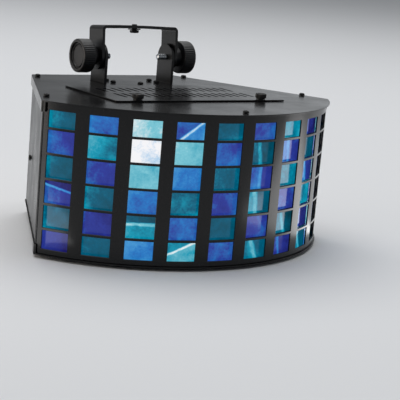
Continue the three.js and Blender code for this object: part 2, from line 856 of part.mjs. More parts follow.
/** The ring of upright glass ribs that bends the lamp's light. */
function makeLensRing() {
  const steps = drumRibs * drumRibShares.length;
  const outline = Array.from({ length: steps }, (_, i) => {
    const share = drumRibShares[i % drumRibShares.length];
    return onArc(drumRadius - drumRibDepth * (1 - share), (i / steps) * 360 * degree);
  });
  const bore = holeThrough([0, 0], drumRadius - drumRibDepth - drumWall, ringBottom, ringTop, steps);
  return prism(outline, ringBottom, ringTop).subtract(bore);
}

/** The drum's round floor, its hub and the shaft that the motor turns. */
function makeDrumBase() {
  const underHub = drumFloorZ - drumHubHeight;
  return join(
    bar(drumRadius, drumFloorZ, drumFloorZ + drumFloor, drumRibs * drumRibShares.length),
    bar(drumHub, underHub, drumFloorZ + drumFloor / 2, fuseSides),
    bar(motorShaft, panTop + motorHeight - motorShaftSunk + seat * 2, drumFloorZ, studSides),
  );
}

function makeMotor() {
  const top = panTop + seat + motorHeight;
  return join(
    bar(motorRadius, panTop + seat, top, motorSides),
    bar(motorBoss, top - motorBossHeight, top + motorBossHeight, fuseSides),
  ).subtract(
    bar(motorShaft + seat, top - motorShaftSunk, top + motorBossHeight + cutOverrun, studSides),
  );
}

/** The folded strip that carries the lamp holder over the drum, screwed under the cover. */
function makeLampBracket() {
  const top = coverUnder - seat;
  const rear = bracketScrewY + bracketFlange / 2;
  const drop = bracketScrewY - bracketFlange / 2;
  const shelfTop = shelfZ + shelfThickness;
  return join(
    block([-shelfHalfWidth, drop, top - shelfThickness], [shelfHalfWidth, rear, top]),
    block([-shelfHalfWidth, drop, shelfZ], [shelfHalfWidth, drop + shelfThickness, top]),
    block([-shelfHalfWidth, drumY - shelfReach, shelfZ], [shelfHalfWidth, drop + shelfThickness, shelfTop]),
  ).subtract(holeThrough([0, bracketScrewY], screwHole, top - shelfThickness, top, screwSides));
}

function makeLampHolder() {
  return block([-holderWidth / 2, -holderDepth / 2, -holderHeight], [holderWidth / 2, holderDepth / 2, 0]);
}

/** The capsule lamp, hanging from z = 0. */
function makeLamp() {
  return turned(
    [
      [0, -lampLength],
      [lampRadius * lampTipShares[0], -lampLength + lampRadius * lampTipShares[1]],
      [lampRadius, -lampLength + lampRadius],
      [lampRadius, -lampPinchLength - lampPinch],
      [lampPinch, -lampPinchLength],
      [lampPinch, 0],
      [0, 0],
    ],
    lampSides,
  );
}

function makeTransformer() {
  const [coreX, coreY, coreZ] = transformerCore.map((size) => size / 2);
  const [coilX, coilY, coilZ] = transformerCoil.map((size) => size / 2);
  const core = block([-coreX, -coreY, -coreZ], [coreX, coreY, coreZ]);
  return join(core, block([-coilX, -coilY, -coilZ], [coilX, coilY, coilZ]));
}

/** The control board on its four posts, standing on z = 0. */
function makeBoard() {
  const halfX = boardWidth / 2;
  const halfY = boardDepth / 2;
  const boardTop = boardStandoff + boardThickness;
  const postX = halfX - boardPostInset;
  const postY = halfY - boardPostInset;
  const posts = [[-postX, -postY], [postX, -postY], [-postX, postY], [postX, postY]].map(([x, y]) =>
    bar(boardPost, 0, boardTop, hexSides).translate([x, y, 0]),
  );
  const mounted = (width, depth, height, x, y) =>
    block([x - width / 2, y - depth / 2, boardStandoff], [x + width / 2, y + depth / 2, boardTop + height]);
  const parts = [
    mounted(relayWidth, relayDepth, relayHeight, -boardWidth / 4, -boardDepth / 4),
    mounted(coolerWidth, coolerDepth, coolerHeight, boardWidth / 4, -boardDepth / 6),
    mounted(capacitorWidth, capacitorWidth, capacitorHeight, -boardWidth / 5, boardDepth / 5),
  ];
  return join(block([-halfX, -halfY, boardStandoff], [halfX, halfY, boardTop]), ...posts, ...parts);
}

const sides = [["left", -1], ["right", 1]];
const light = new THREE.Group();
light.position.y = centring;

/** Adds a named piece to a group, at a place in it. */
function add(group, name, body, material, place = [0, 0, 0]) {
  const mesh = new THREE.Mesh(geometryOf(body), material);
  mesh.name = name;
  mesh.position.set(...place);
  group.add(mesh);
  return mesh;
}

function addHousing() {
  add(light, "base_pan", makeBasePan(), enamel);
  add(light, "left_side", makeSidePanel(-1), enamel);
  add(light, "right_side", makeSidePanel(1), enamel);
  add(light, "rear_panel", makeRearPanel(), enamel);
  add(light, "top_cover", makeTopCover(), enamel);
  add(light, "lens_panel", makeLensPanel(), enamel);
  for (const [name, [x, y]] of Object.entries(coverScrewPlaces)) {
    add(light, `cover_screw_${name}`, screwSolid(coverScrewLength), blackSteel, [x, y, coverTop + seat]);
  }
  const bracketScrewPlace = [0, bracketScrewY, coverTop + seat];
  add(light, "lamp_bracket_screw", screwSolid(coverScrewLength), blackSteel, bracketScrewPlace);
  for (const [name, side] of sides) {
    const screw = screwSolid(coverScrewLength).translate([0, 0, seat]);
    add(light, `side_screw_${name}`, onSide(screw, side, sideScrewY, sideScrewZ), blackSteel);
  }
  const foot = bar(footRadius, 0, footHeight - seat, footSides);
  const [frontX, frontY] = besideSide(footFrontInset, footFrontAlong);
  const rearX = rearHalfWidth - footRearInset;
  for (const [name, side] of sides) {
    add(light, `foot_front_${name}`, foot, rubber, [side * frontX, frontY, 0]);
    add(light, `foot_rear_${name}`, foot, rubber, [side * rearX, rearDepth - footRearForward, 0]);
  }
}

function addGlass() {
  const strip = makeGlassStrip();
  for (let column = 0; column < columnCount; column++) {
    const angle = columnAngle(column);
    const [x, y] = onArc(lensRadius - glassSetback, angle);
    const material = column % 2 ? blueGlass : aquaGlass;
    add(light, `glass_strip_${column + 1}`, strip, material, [x, y, 0]).rotation.z = angle;
  }
}

function addHatch() {
  add(light, "lamp_hatch", makeHatch(), enamel);
  for (const [name, side] of sides) {
    const place = [side * thumbX, hatchFront + thumbEdge, hatchTop + seat];
    add(light, `thumb_screw_${name}`, makeThumbScrew(), blackPlastic, place);
  }
}

function addBracket() {
  const pivot = new THREE.Group();
  pivot.position.set(0, armCentreY, pivotZ);
  light.add(pivot);
  const studLength = studProud + knobX + knobBoreDepth - armX - seat;
  for (const [name, side] of sides) {
    add(pivot, `bracket_arm_${name}`, makeArm(side), blackSteel);
    const stud = bar(studRadius, armX - studProud, armX - studProud + studLength, studSides);
    add(pivot, `pivot_stud_${name}`, alongX(stud, side), zincSteel);
    const washer = alongX(ring(washerRadius, studHole, washerThickness, washerSides), side);
    add(pivot, `knob_washer_${name}`, washer, blackSteel, [side * washerX, 0, 0]);
    add(pivot, `knob_${name}`, alongX(makeKnob(), side), blackPlastic, [side * knobX, 0, 0]);
    for (const [row, y] of Object.entries(footScrewYs)) {
      const place = [side * footScrewX, y, coverTop + seat];
      add(light, `arm_screw_${name}_${row}`, screwSolid(coverScrewLength), blackSteel, place);
    }
  }
  const tilted = new THREE.Group();
  tilted.rotation.x = -yokeLean;
  pivot.add(tilted);
  add(tilted, "yoke", makeYoke(), blackSteel);
  add(tilted, "hanging_bolt", makeHangingBolt(), zincSteel);
  const washerZ = yokeReach + yokeBow - barThickness - seat - hangWasherThickness;
  const washer = ring(hangWasherRadius, hangShank + seat, hangWasherThickness, washerSides);
  add(tilted, "hanging_washer", washer, zincSteel, [0, 0, washerZ]);
}

function addRear() {
  add(light, "power_inlet", makeInlet(), blackPlastic, [inletX, rearFace, inletZ]);
  add(light, "fuse_holder", makeFuseHolder(), blackPlastic, [fuseX, rearFace, inletZ]);
  add(light, "fuse_cap", makeFuseCap(), blackPlastic, [fuseX, rearFace + seat * 2 + fuseFlange, inletZ]);
  add(light, "sensitivity_dial", makeDial(), blackPlastic, [dialX, rearFace, inletZ]);
  const fanY = rearFace - sheet - seat;
  add(light, "fan_frame", makeFanFrame(), blackPlastic, [fanX, fanY, fanZ]);
  add(light, "fan_rotor", makeFanRotor(), blackPlastic, [fanX, fanY, fanZ]);
}

function addInside() {
  add(light, "drive_motor", makeMotor(), zincSteel, [0, drumY, 0]);
  add(light, "drum_base", makeDrumBase(), zincSteel, [0, drumY, 0]);
  add(light, "lens_ring", makeLensRing(), clearGlass, [0, drumY, 0]);
  add(light, "lamp_bracket", makeLampBracket(), zincSteel);
  const holderTop = shelfZ - seat;
  add(light, "lamp_holder", makeLampHolder(), ceramic, [0, drumY, holderTop]);
  add(light, "halogen_lamp", makeLamp(), clearGlass, [0, drumY, holderTop - holderHeight - seat]);
  const transformerZ = panTop + seat + transformerCore[2] / 2;
  add(light, "transformer", makeTransformer(), zincSteel, [transformerX, transformerY, transformerZ]);
  add(light, "control_board", makeBoard(), boardGreen, [boardX, boardY, panTop + seat]);
}

addHousing();
addGlass();
addHatch();
addBracket();
addRear();
addInside();

export default light;
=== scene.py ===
"""Dresses the half-moon dj effect light in its real finishes and stands it in a plain studio.

Every length is in metres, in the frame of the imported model: +Z up and the curved glass front towards -Y.
"""

import logging
import math
import random
from dataclasses import dataclass, field
from enum import Enum, IntEnum
from typing import Callable, Iterable, Sequence

import bmesh
import bpy
from bmesh.types import BMesh, BMEdge, BMFace, BMVert
from bpy.types import Node, NodeSocket, NodeTree
from mathutils import Matrix, Vector


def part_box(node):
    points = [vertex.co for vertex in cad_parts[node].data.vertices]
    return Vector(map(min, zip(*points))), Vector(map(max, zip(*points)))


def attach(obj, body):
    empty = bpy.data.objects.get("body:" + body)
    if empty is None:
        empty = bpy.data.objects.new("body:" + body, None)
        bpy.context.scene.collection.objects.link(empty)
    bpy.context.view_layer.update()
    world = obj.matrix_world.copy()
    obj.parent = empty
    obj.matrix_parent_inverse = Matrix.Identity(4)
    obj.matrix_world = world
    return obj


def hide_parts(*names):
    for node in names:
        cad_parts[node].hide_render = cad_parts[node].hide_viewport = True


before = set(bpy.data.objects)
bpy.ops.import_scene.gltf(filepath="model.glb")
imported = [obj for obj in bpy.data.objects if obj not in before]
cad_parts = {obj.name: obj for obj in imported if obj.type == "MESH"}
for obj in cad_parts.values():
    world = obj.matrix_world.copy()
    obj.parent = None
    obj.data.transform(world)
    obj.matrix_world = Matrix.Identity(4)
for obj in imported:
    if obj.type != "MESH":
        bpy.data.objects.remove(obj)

log = logging.getLogger("effect_light")

MM = 0.001
CLEAN = 1e-6  # distance under which two points of one piece are merged
SHARP_CUT = 1e-9  # the same for a cut beside an edge that has to stay
NOISE_LOW, NOISE_HIGH = 0.3, 0.7  # a noise texture's values lie mostly between these
MIX_FIRST, MIX_SECOND, MIX_RESULT = 6, 7, 2  # a Mix node's sockets for colours
WAVE_BAND = 0.314  # length of one band of a wave texture at a scale of 1


# Colour and nodes


def linear(code: str) -> tuple[float, float, float, float]:
    """Turns an sRGB hex colour into the linear colour that a shader takes.

    Args:
        code: The colour as #rrggbb.

    Returns:
        Linear red, green and blue, with an alpha of 1.
    """
    shares = [int(code[i : i + 2], 16) / 255 for i in (1, 3, 5)]
    flat = [s / 12.92 if s <= 0.04045 else ((s + 0.055) / 1.055) ** 2.4 for s in shares]
    return (flat[0], flat[1], flat[2], 1.0)


def add_node(
    tree: NodeTree,
    kind: str,
    settings: dict[str | int, object] | None = None,
    links: dict[str | int, NodeSocket] | None = None,
) -> Node:
    """Adds a node to a tree.

    Args:
        tree: The node tree.
        kind: The node's type.
        settings: Values for its inputs, by name or index, and for its properties.
        links: Sockets to join to its inputs, by the inputs' names or indices.

    Returns:
        The new node.
    """
    node = tree.nodes.new(kind)
    for key, value in (settings or {}).items():
        if isinstance(key, int) or key in node.inputs:
            node.inputs[key].default_value = value
        else:
            setattr(node, key, value)
    for key, socket in (links or {}).items():
        tree.links.new(socket, node.inputs[key])
    return node


# Finishes


@dataclass(frozen=True)
class Finish:
    """A surface finish, made once and shared by every piece that has it.

    The grain is the distance between two bumps of the surface, the relief their height and the depth the share
    of it that counts. The patch is the distance over which roughness and tone drift, by the shares of the two
    drifts.
    """

    name: str
    colour: str
    roughness: float = 0.5
    metallic: float = 0.0
    grain: float = 0.8 * MM
    relief: float = 0.02 * MM
    depth: float = 1.0
    patch: float = 35.7 * MM
    gloss_drift: tuple[float, float] = (0.82, 1.2)
    tone_drift: tuple[float, float] = (0.88, 1.14)

    def make(self) -> bpy.types.Material:
        """Makes the material, or finds it where it is made already."""
        found = bpy.data.materials.get(self.name)
        if found:
            return found
        material = bpy.data.materials.new(self.name)
        material.use_nodes = True
        shader = material.node_tree.nodes["Principled BSDF"]
        shader.inputs["Base Color"].default_value = linear(self.colour)
        shader.inputs["Roughness"].default_value = self.roughness
        shader.inputs["Metallic"].default_value = self.metallic
        tree = material.node_tree
        height = self.dress(tree, shader, add_node(tree, "ShaderNodeTexCoord").outputs["Object"])
        if height is not None:
            raised = {"Strength": self.depth, "Distance": self.relief}
            bump = add_node(tree, "ShaderNodeBump", raised, {"Height": height})
            tree.links.new(bump.outputs["Normal"], shader.inputs["Normal"])
        return material

    def dress(self, tree: NodeTree, shader: Node, place: NodeSocket) -> NodeSocket | None:
        """Adds the finish's pattern: here an even grain, and a slow change of gloss and tone.

        Args:
            tree: The material's node tree.
            shader: Its Principled BSDF.
            place: The object coordinates.

        Returns:
            The socket that gives the surface's height, or None where it has no relief.
        """
        fine = add_node(tree, "ShaderNodeTexNoise", {"Scale": 1 / self.grain, "Detail": 3.0}, {"Vector": place})
        slow = add_node(tree, "ShaderNodeTexNoise", {"Scale": 1 / self.patch, "Detail": 5.0}, {"Vector": place})
        glossier, duller = (self.roughness * share for share in self.gloss_drift)
        gloss = add_node(
            tree,
            "ShaderNodeMapRange",
            {"From Min": NOISE_LOW, "From Max": NOISE_HIGH, "To Min": glossier, "To Max": duller},
            {"Value": slow.outputs["Fac"]},
        )
        darker, lighter = self.tone_drift
        share = add_node(
            tree,
            "ShaderNodeMapRange",
            {"From Min": NOISE_LOW, "From Max": NOISE_HIGH, "To Min": darker, "To Max": lighter},
            {"Value": slow.outputs["Fac"]},
        )
        tone = add_node(
            tree,
            "ShaderNodeHueSaturation",
            {"Color": linear(self.colour)},
            {"Value": share.outputs["Result"]},
        )
        tree.links.new(gloss.outputs["Result"], shader.inputs["Roughness"])
        tree.links.new(tone.outputs["Color"], shader.inputs["Base Color"])
        return fine.outputs["Fac"]


@dataclass(frozen=True)
class BakedEnamel(Finish):
    """Black enamel sprayed on sheet steel and baked: glossy, with a faint orange peel, dust and rubbed spots.

    Real dust is finer than the specks here, which are drawn about 1 mm apart so that they show in the render.
    """

    patch: float = 45.45 * MM
    gloss_drift: tuple[float, float] = (0.8, 1.3)
    rubbed_between: tuple[float, float] = (0.3, 0.72)
    dust: str = "#4a4641"
    speck: float = 1.1111 * MM
    dusty_between: tuple[float, float] = (0.62, 0.8)
    dust_share: float = 0.35
    ior: float = 1.38

    def dress(self, tree: NodeTree, shader: Node, place: NodeSocket) -> NodeSocket:
        """Adds orange peel, settled dust and rubbed spots."""
        peel = add_node(tree, "ShaderNodeTexNoise", {"Scale": 1 / self.grain, "Detail": 2.0}, {"Vector": place})
        slow = add_node(
            tree,
            "ShaderNodeTexNoise",
            {"Scale": 1 / self.patch, "Detail": 6.0, "Roughness": 0.6},
            {"Vector": place},
        )
        speckled = {"Scale": 1 / self.speck, "Detail": 2.0}
        specks = add_node(tree, "ShaderNodeTexNoise", speckled, {"Vector": place})
        clean, full = self.dusty_between
        dusty = add_node(
            tree,
            "ShaderNodeMapRange",
            {"From Min": clean, "From Max": full, "To Min": 0.0, "To Max": self.dust_share},
            {"Value": specks.outputs["Fac"]},
        )
        colour = add_node(
            tree,
            "ShaderNodeMix",
            {"data_type": "RGBA", MIX_FIRST: linear(self.colour), MIX_SECOND: linear(self.dust)},
            {0: dusty.outputs["Result"]},
        )
        rubbed, dull = self.rubbed_between
        glossier, duller = (self.roughness * share for share in self.gloss_drift)
        gloss = add_node(
            tree,
            "ShaderNodeMapRange",
            {"From Min": rubbed, "From Max": dull, "To Min": glossier, "To Max": duller},
            {"Value": slow.outputs["Fac"]},
        )
        tree.links.new(colour.outputs[MIX_RESULT], shader.inputs["Base Color"])
        tree.links.new(gloss.outputs["Result"], shader.inputs["Roughness"])
        shader.inputs["IOR"].default_value = self.ior
        return peel.outputs["Fac"]


@dataclass(frozen=True)
class DichroicGlass(Finish):
    """Borosilicate tile with a vacuum-coated filter layer, lit from behind by the lens drum's fans of light.

    Its glow is painted light: an emission in place of the drum's light through the glass. Its brightness runs
    from 0, its own dark colour, over dim, middle and pale to 1, white. The mottle and the sweep are the small
    and the broad painted unevenness of the light, a streak is a painted fan of light across the tile with a
    painted shadow beside it, and the ripple is the waviness of the glass itself.
    """

    dim: str = "#005c7a"
    middle: str = "#0a9bb8"
    pale: str = "#82cddc"
    levels: tuple[float, float, float] = (0.3, 0.5, 0.78)
    mottle: float = 2.174 * MM
    mottled_between: tuple[float, float] = (0.25, 0.75)
    mottle_swing: float = 0.06
    sweep: float = 16.667 * MM
    sweep_swing: float = 0.09
    waver: float = 5.0
    streak_between: tuple[float, float] = (1.3, 0.3)
    streak_gain: float = 0.3
    shadow_between: tuple[float, float] = (0.6, 1.6)
    shadow_loss: float = 0.22
    glow: float = 0.9
    ripple: float = 20 * MM
    # Lower than real glass's, because the photographed tiles had no pale floor before them to mirror
    ior: float = 1.34

    def dress(self, tree: NodeTree, shader: Node, place: NodeSocket) -> NodeSocket:
        """Adds the light that shows through."""
        ramp = add_node(tree, "ShaderNodeValToRGB", {}, {"Fac": self.brightness(tree, place)})
        stops = ramp.color_ramp.elements
        stops[0].position = 0.0
        stops[0].color = linear(self.colour)
        stops[1].position = 1.0
        stops[1].color = (1.0, 1.0, 1.0, 1.0)
        for position, code in zip(self.levels, (self.dim, self.middle, self.pale)):
            stops.new(position).color = linear(code)
        # painted light: the tile glows by emission in place of the drum's light through it
        tree.links.new(ramp.outputs["Color"], shader.inputs["Emission Color"])
        shader.inputs["Emission Strength"].default_value = self.glow
        shader.inputs["IOR"].default_value = self.ior
        wavy = {"Scale": 1 / self.ripple, "Detail": 1.0}
        return add_node(tree, "ShaderNodeTexNoise", wavy, {"Vector": place}).outputs["Fac"]

    def brightness(self, tree: NodeTree, place: NodeSocket) -> NodeSocket:
        """Adds up a tile's own brightness, the unevenness of the light and the tile's streak.

        Args:
            tree: The material's node tree.
            place: The object coordinates.

        Returns:
            The socket that gives the brightness.
        """
        lit = add_node(tree, "ShaderNodeAttribute", {"attribute_name": "lit"}).outputs["Fac"]
        streak = add_node(tree, "ShaderNodeAttribute", {"attribute_name": "streak"}).outputs["Vector"]
        fine = add_node(
            tree,
            "ShaderNodeTexNoise",
            {"Scale": 1 / self.mottle, "Detail": 3.0, "Roughness": 0.6, "Distortion": 0.5},
            {"Vector": place},
        )
        broad = add_node(
            tree,
            "ShaderNodeTexNoise",
            {"Scale": 1 / self.sweep, "Detail": 2.0, "Distortion": 0.6},
            {"Vector": place},
        )
        low, high = self.mottled_between
        painted_mottle = add_node(
            tree,
            "ShaderNodeMapRange",
            {"From Min": low, "From Max": high, "To Min": -self.mottle_swing, "To Max": self.mottle_swing},
            {"Value": fine.outputs["Fac"]},
        )
        swing = self.sweep_swing
        swept = add_node(
            tree,
            "ShaderNodeMapRange",
            {"From Min": NOISE_LOW, "From Max": NOISE_HIGH, "To Min": -swing, "To Max": swing},
            {"Value": broad.outputs["Fac"]},
        )
        apart = add_node(tree, "ShaderNodeSeparateXYZ", {}, {"Vector": streak})
        bent = add_node(
            tree,
            "ShaderNodeMath",
            {"operation": "MULTIPLY_ADD", 1: self.waver},
            {0: swept.outputs["Result"], 2: apart.outputs["X"]},
        )
        distance = add_node(tree, "ShaderNodeMath", {"operation": "ABSOLUTE"}, {0: bent.outputs[0]})
        outer, inner = self.streak_between
        near = add_node(
            tree,
            "ShaderNodeMapRange",
            {
                "interpolation_type": "SMOOTHSTEP",
                "From Min": outer,
                "From Max": inner,
                "To Min": 0.0,
                "To Max": self.streak_gain,
            },
            {"Value": distance.outputs[0]},
        )
        start, full = self.shadow_between
        shadow = add_node(
            tree,
            "ShaderNodeMapRange",
            {
                "interpolation_type": "SMOOTHSTEP",
                "From Min": start,
                "From Max": full,
                "To Min": 0.0,
                "To Max": -self.shadow_loss,
            },
            {"Value": bent.outputs[0]},
        )
        both = add_node(
            tree,
            "ShaderNodeMath",
            {"operation": "ADD"},
            {0: near.outputs["Result"], 1: shadow.outputs["Result"]},
        )
        beam = add_node(
            tree, "ShaderNodeMath", {"operation": "MULTIPLY"}, {0: both.outputs[0], 1: apart.outputs["Y"]}
        )
        level = lit
        for part in (painted_mottle.outputs["Result"], swept.outputs["Result"], beam.outputs[0]):
            level = add_node(tree, "ShaderNodeMath", {"operation": "ADD"}, {0: level, 1: part}).outputs[0]
        return level


@dataclass(frozen=True)
class ClearGlass(Finish):
    """Pressed or drawn clear glass: full transmission, with the faint waviness of its making."""

    ior: float = 1.5

    def dress(self, tree: NodeTree, shader: Node, place: NodeSocket) -> NodeSocket:
        """Makes the glass clear and adds its waviness."""
        shader.inputs["Transmission Weight"].default_value = 1.0
        shader.inputs["IOR"].default_value = self.ior
        wavy = {"Scale": 1 / self.grain, "Detail": 2.0}
        return add_node(tree, "ShaderNodeTexNoise", wavy, {"Vector": place}).outputs["Fac"]


@dataclass(frozen=True)
class Layered(Finish):
    """Stacked or wound material: steel laminations or turns of wire, seen as fine parallel lines."""

    depth: float = 0.8
    pitch: float = 0.9 * MM
    groove: str = "#1c1a18"
    upright: bool = True

    def dress(self, tree: NodeTree, shader: Node, place: NodeSocket) -> NodeSocket:
        """Adds the lines, both dark and in relief."""
        across = "X" if self.upright else "Z"
        lines = add_node(
            tree,
            "ShaderNodeTexWave",
            {"Scale": WAVE_BAND / self.pitch, "bands_direction": across, "Distortion": 0.15},
            {"Vector": place},
        )
        colour = add_node(
            tree,
            "ShaderNodeMix",
            {"data_type": "RGBA", MIX_FIRST: linear(self.groove), MIX_SECOND: linear(self.colour)},
            {0: lines.outputs["Fac"]},
        )
        tree.links.new(colour.outputs[MIX_RESULT], shader.inputs["Base Color"])
        return lines.outputs["Fac"]


@dataclass(frozen=True)
class PlainPaper(Finish):
    """Seamless paper: matt and even, with nothing but its fibre in relief."""

    def dress(self, tree: NodeTree, shader: Node, place: NodeSocket) -> NodeSocket:
        """Adds the fibre."""
        fibre = {"Scale": 1 / self.grain, "Detail": 4.0}
        return add_node(tree, "ShaderNodeTexNoise", fibre, {"Vector": place}).outputs["Fac"]


@dataclass(frozen=True)
class GlowingWire(Finish):
    """Tungsten wire at white heat."""

    glow: str = "#ffe2b0"
    heat: tuple[float, float] = (3.0, 7.0)

    def dress(self, tree: NodeTree, shader: Node, place: NodeSocket) -> None:
        """Makes the wire shine, a little unevenly along its coil."""
        uneven = add_node(tree, "ShaderNodeTexNoise", {"Scale": 1 / self.grain}, {"Vector": place})
        coolest, hottest = self.heat
        heat = add_node(
            tree,
            "ShaderNodeMapRange",
            {"To Min": coolest, "To Max": hottest},
            {"Value": uneven.outputs["Fac"]},
        )
        shader.inputs["Emission Color"].default_value = linear(self.glow)
        tree.links.new(heat.outputs["Result"], shader.inputs["Emission Strength"])


class Finishes(Enum):
    """The finishes of the light."""

    # Stoved gloss enamel: a sharp highlight that spreads softly, over a fine orange peel of about 2 mm
    ENAMEL = BakedEnamel("black baked enamel", "#0b0b0c", roughness=0.2, grain=2.2 * MM, relief=0.012 * MM)
    # The same enamel on the rougher side sheets: a wider, duller sheen
    SATIN = BakedEnamel("black satin enamel", "#0b0b0c", roughness=0.3, grain=2.2 * MM, relief=0.012 * MM)
    # Semi-gloss powder coat on the flat bar: an even pebbled skin of about 1 mm
    POWDER = Finish("black powder coat", "#0c0c0d", roughness=0.3, grain=1.1 * MM, relief=0.03 * MM)
    # Black oxide on steel screws: thin, dark and a little metallic
    OXIDE = Finish(
        "black oxide steel", "#161617", roughness=0.34, metallic=0.6, grain=0.7 * MM, relief=0.01 * MM
    )
    # Glass-filled nylon from a spark-eroded mould: dull grain with a soft sheen
    NYLON = Finish("moulded black nylon", "#0e0e10", roughness=0.4, grain=0.6 * MM, relief=0.02 * MM)
    # Bright zinc plate: silver-blue, slightly clouded
    ZINC = Finish(
        "bright zinc plate", "#c3c7cb", roughness=0.26, metallic=1.0, grain=1.4 * MM, relief=0.006 * MM
    )
    # Nickel-plated brass contacts
    BRASS = Finish("brass contact", "#cda755", roughness=0.3, metallic=1.0, grain=1.0 * MM, relief=0.004 * MM)
    # Moulded rubber: matt, with a fine bloom
    RUBBER = Finish("moulded rubber", "#19191a", roughness=0.82, grain=0.9 * MM, relief=0.03 * MM)
    # Aqua filter tile: glows petrol where the light is weak and pale aqua where it is strong
    AQUA = DichroicGlass("aqua dichroic glass", "#062c34", roughness=0.12, relief=0.22 * MM)
    # Ground edge of a tile: frosted and dark where no light gets through
    GROUND = Finish("ground glass edge", "#141c20", roughness=0.7, grain=0.5 * MM, relief=0.01 * MM)
    # Blue-violet filter tile: violet where the light is weak, sky blue where it is strong
    BLUE = DichroicGlass(
        "blue dichroic glass",
        "#171250",
        roughness=0.12,
        relief=0.22 * MM,
        dim="#2a3a96",
        middle="#247cc6",
        pale="#5cb6e6",
    )
    # Pressed soda-lime glass of the lens ring
    PRESSED = ClearGlass(
        "pressed lens glass", "#eaf4f2", roughness=0.04, grain=9 * MM, relief=0.05 * MM, ior=1.52
    )
    # Fused quartz of the capsule lamp
    QUARTZ = ClearGlass("fused quartz", "#f7f8f8", roughness=0.02, grain=6 * MM, relief=0.02 * MM, ior=1.46)
    # Unglazed steatite of the lamp holder: chalky off-white
    STEATITE = Finish("steatite", "#ddd6c6", roughness=0.62, grain=0.8 * MM, relief=0.015 * MM)
    # Epoxy-glass circuit board under green solder resist
    BOARD = Finish("circuit board lacquer", "#1c5534", roughness=0.3, grain=1.6 * MM, relief=0.02 * MM)
    # Core of silicon-steel laminations, dipped in varnish
    CORE = Layered("varnished steel laminations", "#5d564d", roughness=0.45, metallic=0.7, relief=0.08 * MM)
    # Enamelled copper wire under amber tape
    COIL = Layered(
        "amber coil tape",
        "#c08a2c",
        roughness=0.34,
        relief=0.05 * MM,
        pitch=1.1 * MM,
        groove="#8a5a18",
        upright=False,
    )
    # Shrunk vinyl sleeve of the capacitors
    SLEEVE = Finish("vinyl sleeve", "#23324c", roughness=0.33, grain=2.0 * MM, relief=0.01 * MM)
    # Mill-finish aluminium of coolers and capacitor tops
    ALUMINIUM = Finish(
        "mill aluminium", "#bfc1c2", roughness=0.38, metallic=1.0, grain=1.0 * MM, relief=0.01 * MM
    )
    # White dial paint, screened on
    PAINT = Finish("white screen ink", "#e6e6e2", roughness=0.55, grain=0.7 * MM, relief=0.004 * MM)
    # White-hot filament
    FILAMENT = GlowingWire("tungsten filament", "#d8c8a8", roughness=0.4, grain=1.5 * MM)
    # Matt pale studio paper, its fibre about 1.5 mm long
    FLOOR = PlainPaper("pale studio paper", "#dcdddf", roughness=0.85, grain=1.5 * MM, relief=0.02 * MM)


# Mesh tools


class Axis(IntEnum):
    """The three directions of the frame."""

    X = 0
    Y = 1
    Z = 2


def span(edge: BMEdge, axis: Axis) -> float:
    """Gives how far an edge reaches along an axis."""
    return abs((edge.verts[0].co - edge.verts[1].co)[axis])


def placed(bm: BMesh, matrix: Matrix) -> BMesh:
    """Moves a whole mesh by a matrix."""
    bmesh.ops.transform(bm, matrix=matrix, verts=bm.verts)
    return bm


def block(low: Sequence[float], high: Sequence[float]) -> BMesh:
    """Makes a block.

    Args:
        low: Its lowest corner.
        high: Its highest corner.

    Returns:
        The block's mesh.
    """
    size = [b - a for a, b in zip(low, high)]
    middle = Vector([(a + b) / 2 for a, b in zip(low, high)])
    bm = bmesh.new()
    bmesh.ops.create_cube(bm, size=1.0, matrix=Matrix.Translation(middle) @ Matrix.Diagonal((*size, 1.0)))
    return bm


def upright(bm: BMesh, height: float) -> BMesh:
    """Raises a flat outline into a closed body.

    Args:
        bm: A mesh of flat faces.
        height: How far they are raised along Z.

    Returns:
        The same mesh.
    """
    raised = bmesh.ops.extrude_face_region(bm, geom=bm.faces[:])
    moved = [item for item in raised["geom"] if isinstance(item, BMVert)]
    bmesh.ops.translate(bm, verts=moved, vec=(0, 0, height))
    bmesh.ops.recalc_face_normals(bm, faces=bm.faces)
    return bm


def outline(points: Iterable[Sequence[float]], height: float, z: float = 0.0) -> BMesh:
    """Makes an upright body over a few corner points.

    Args:
        points: The corners in plan, in order.
        height: The body's height.
        z: Its underside.

    Returns:
        The body's mesh.
    """
    bm = bmesh.new()
    bm.faces.new([bm.verts.new((x, y, z)) for x, y in points])
    return upright(bm, height)


def disc(radius: float, segments: int, height: float, z: float = 0.0) -> BMesh:
    """Makes an upright round body, or with few sides a prism.

    Args:
        radius: Its radius, out to its corners.
        segments: How many sides it has.
        height: Its height.
        z: Its underside.

    Returns:
        The body's mesh.
    """
    bm = bmesh.new()
    base = Matrix.Translation((0, 0, z))
    bmesh.ops.create_circle(bm, cap_ends=True, segments=segments, radius=radius, matrix=base)
    return upright(bm, height)


def turned(profile: Sequence[tuple[float, float]], segments: int) -> BMesh:
    """Turns a profile about Z into a closed body.

    Args:
        profile: Radius and height of each point, the first and last on the axis or the whole a closed ring.
        segments: How many steps one turn takes.

    Returns:
        The body's mesh.
    """
    bm = bmesh.new()
    verts = [bm.verts.new((radius, 0, z)) for radius, z in profile]
    edges = [bm.edges.new(pair) for pair in zip(verts, verts[1:])]
    if profile[0][0] > 0 or profile[-1][0] > 0:
        edges.append(bm.edges.new((verts[-1], verts[0])))
    bmesh.ops.spin(
        bm,
        geom=verts + edges,
        cent=(0, 0, 0),
        axis=(0, 0, 1),
        dvec=(0, 0, 0),
        angle=2 * math.pi,
        steps=segments,
        use_merge=True,
        use_duplicate=False,
    )
    bmesh.ops.remove_doubles(bm, verts=bm.verts, dist=CLEAN)
    bmesh.ops.recalc_face_normals(bm, faces=bm.faces)
    return bm


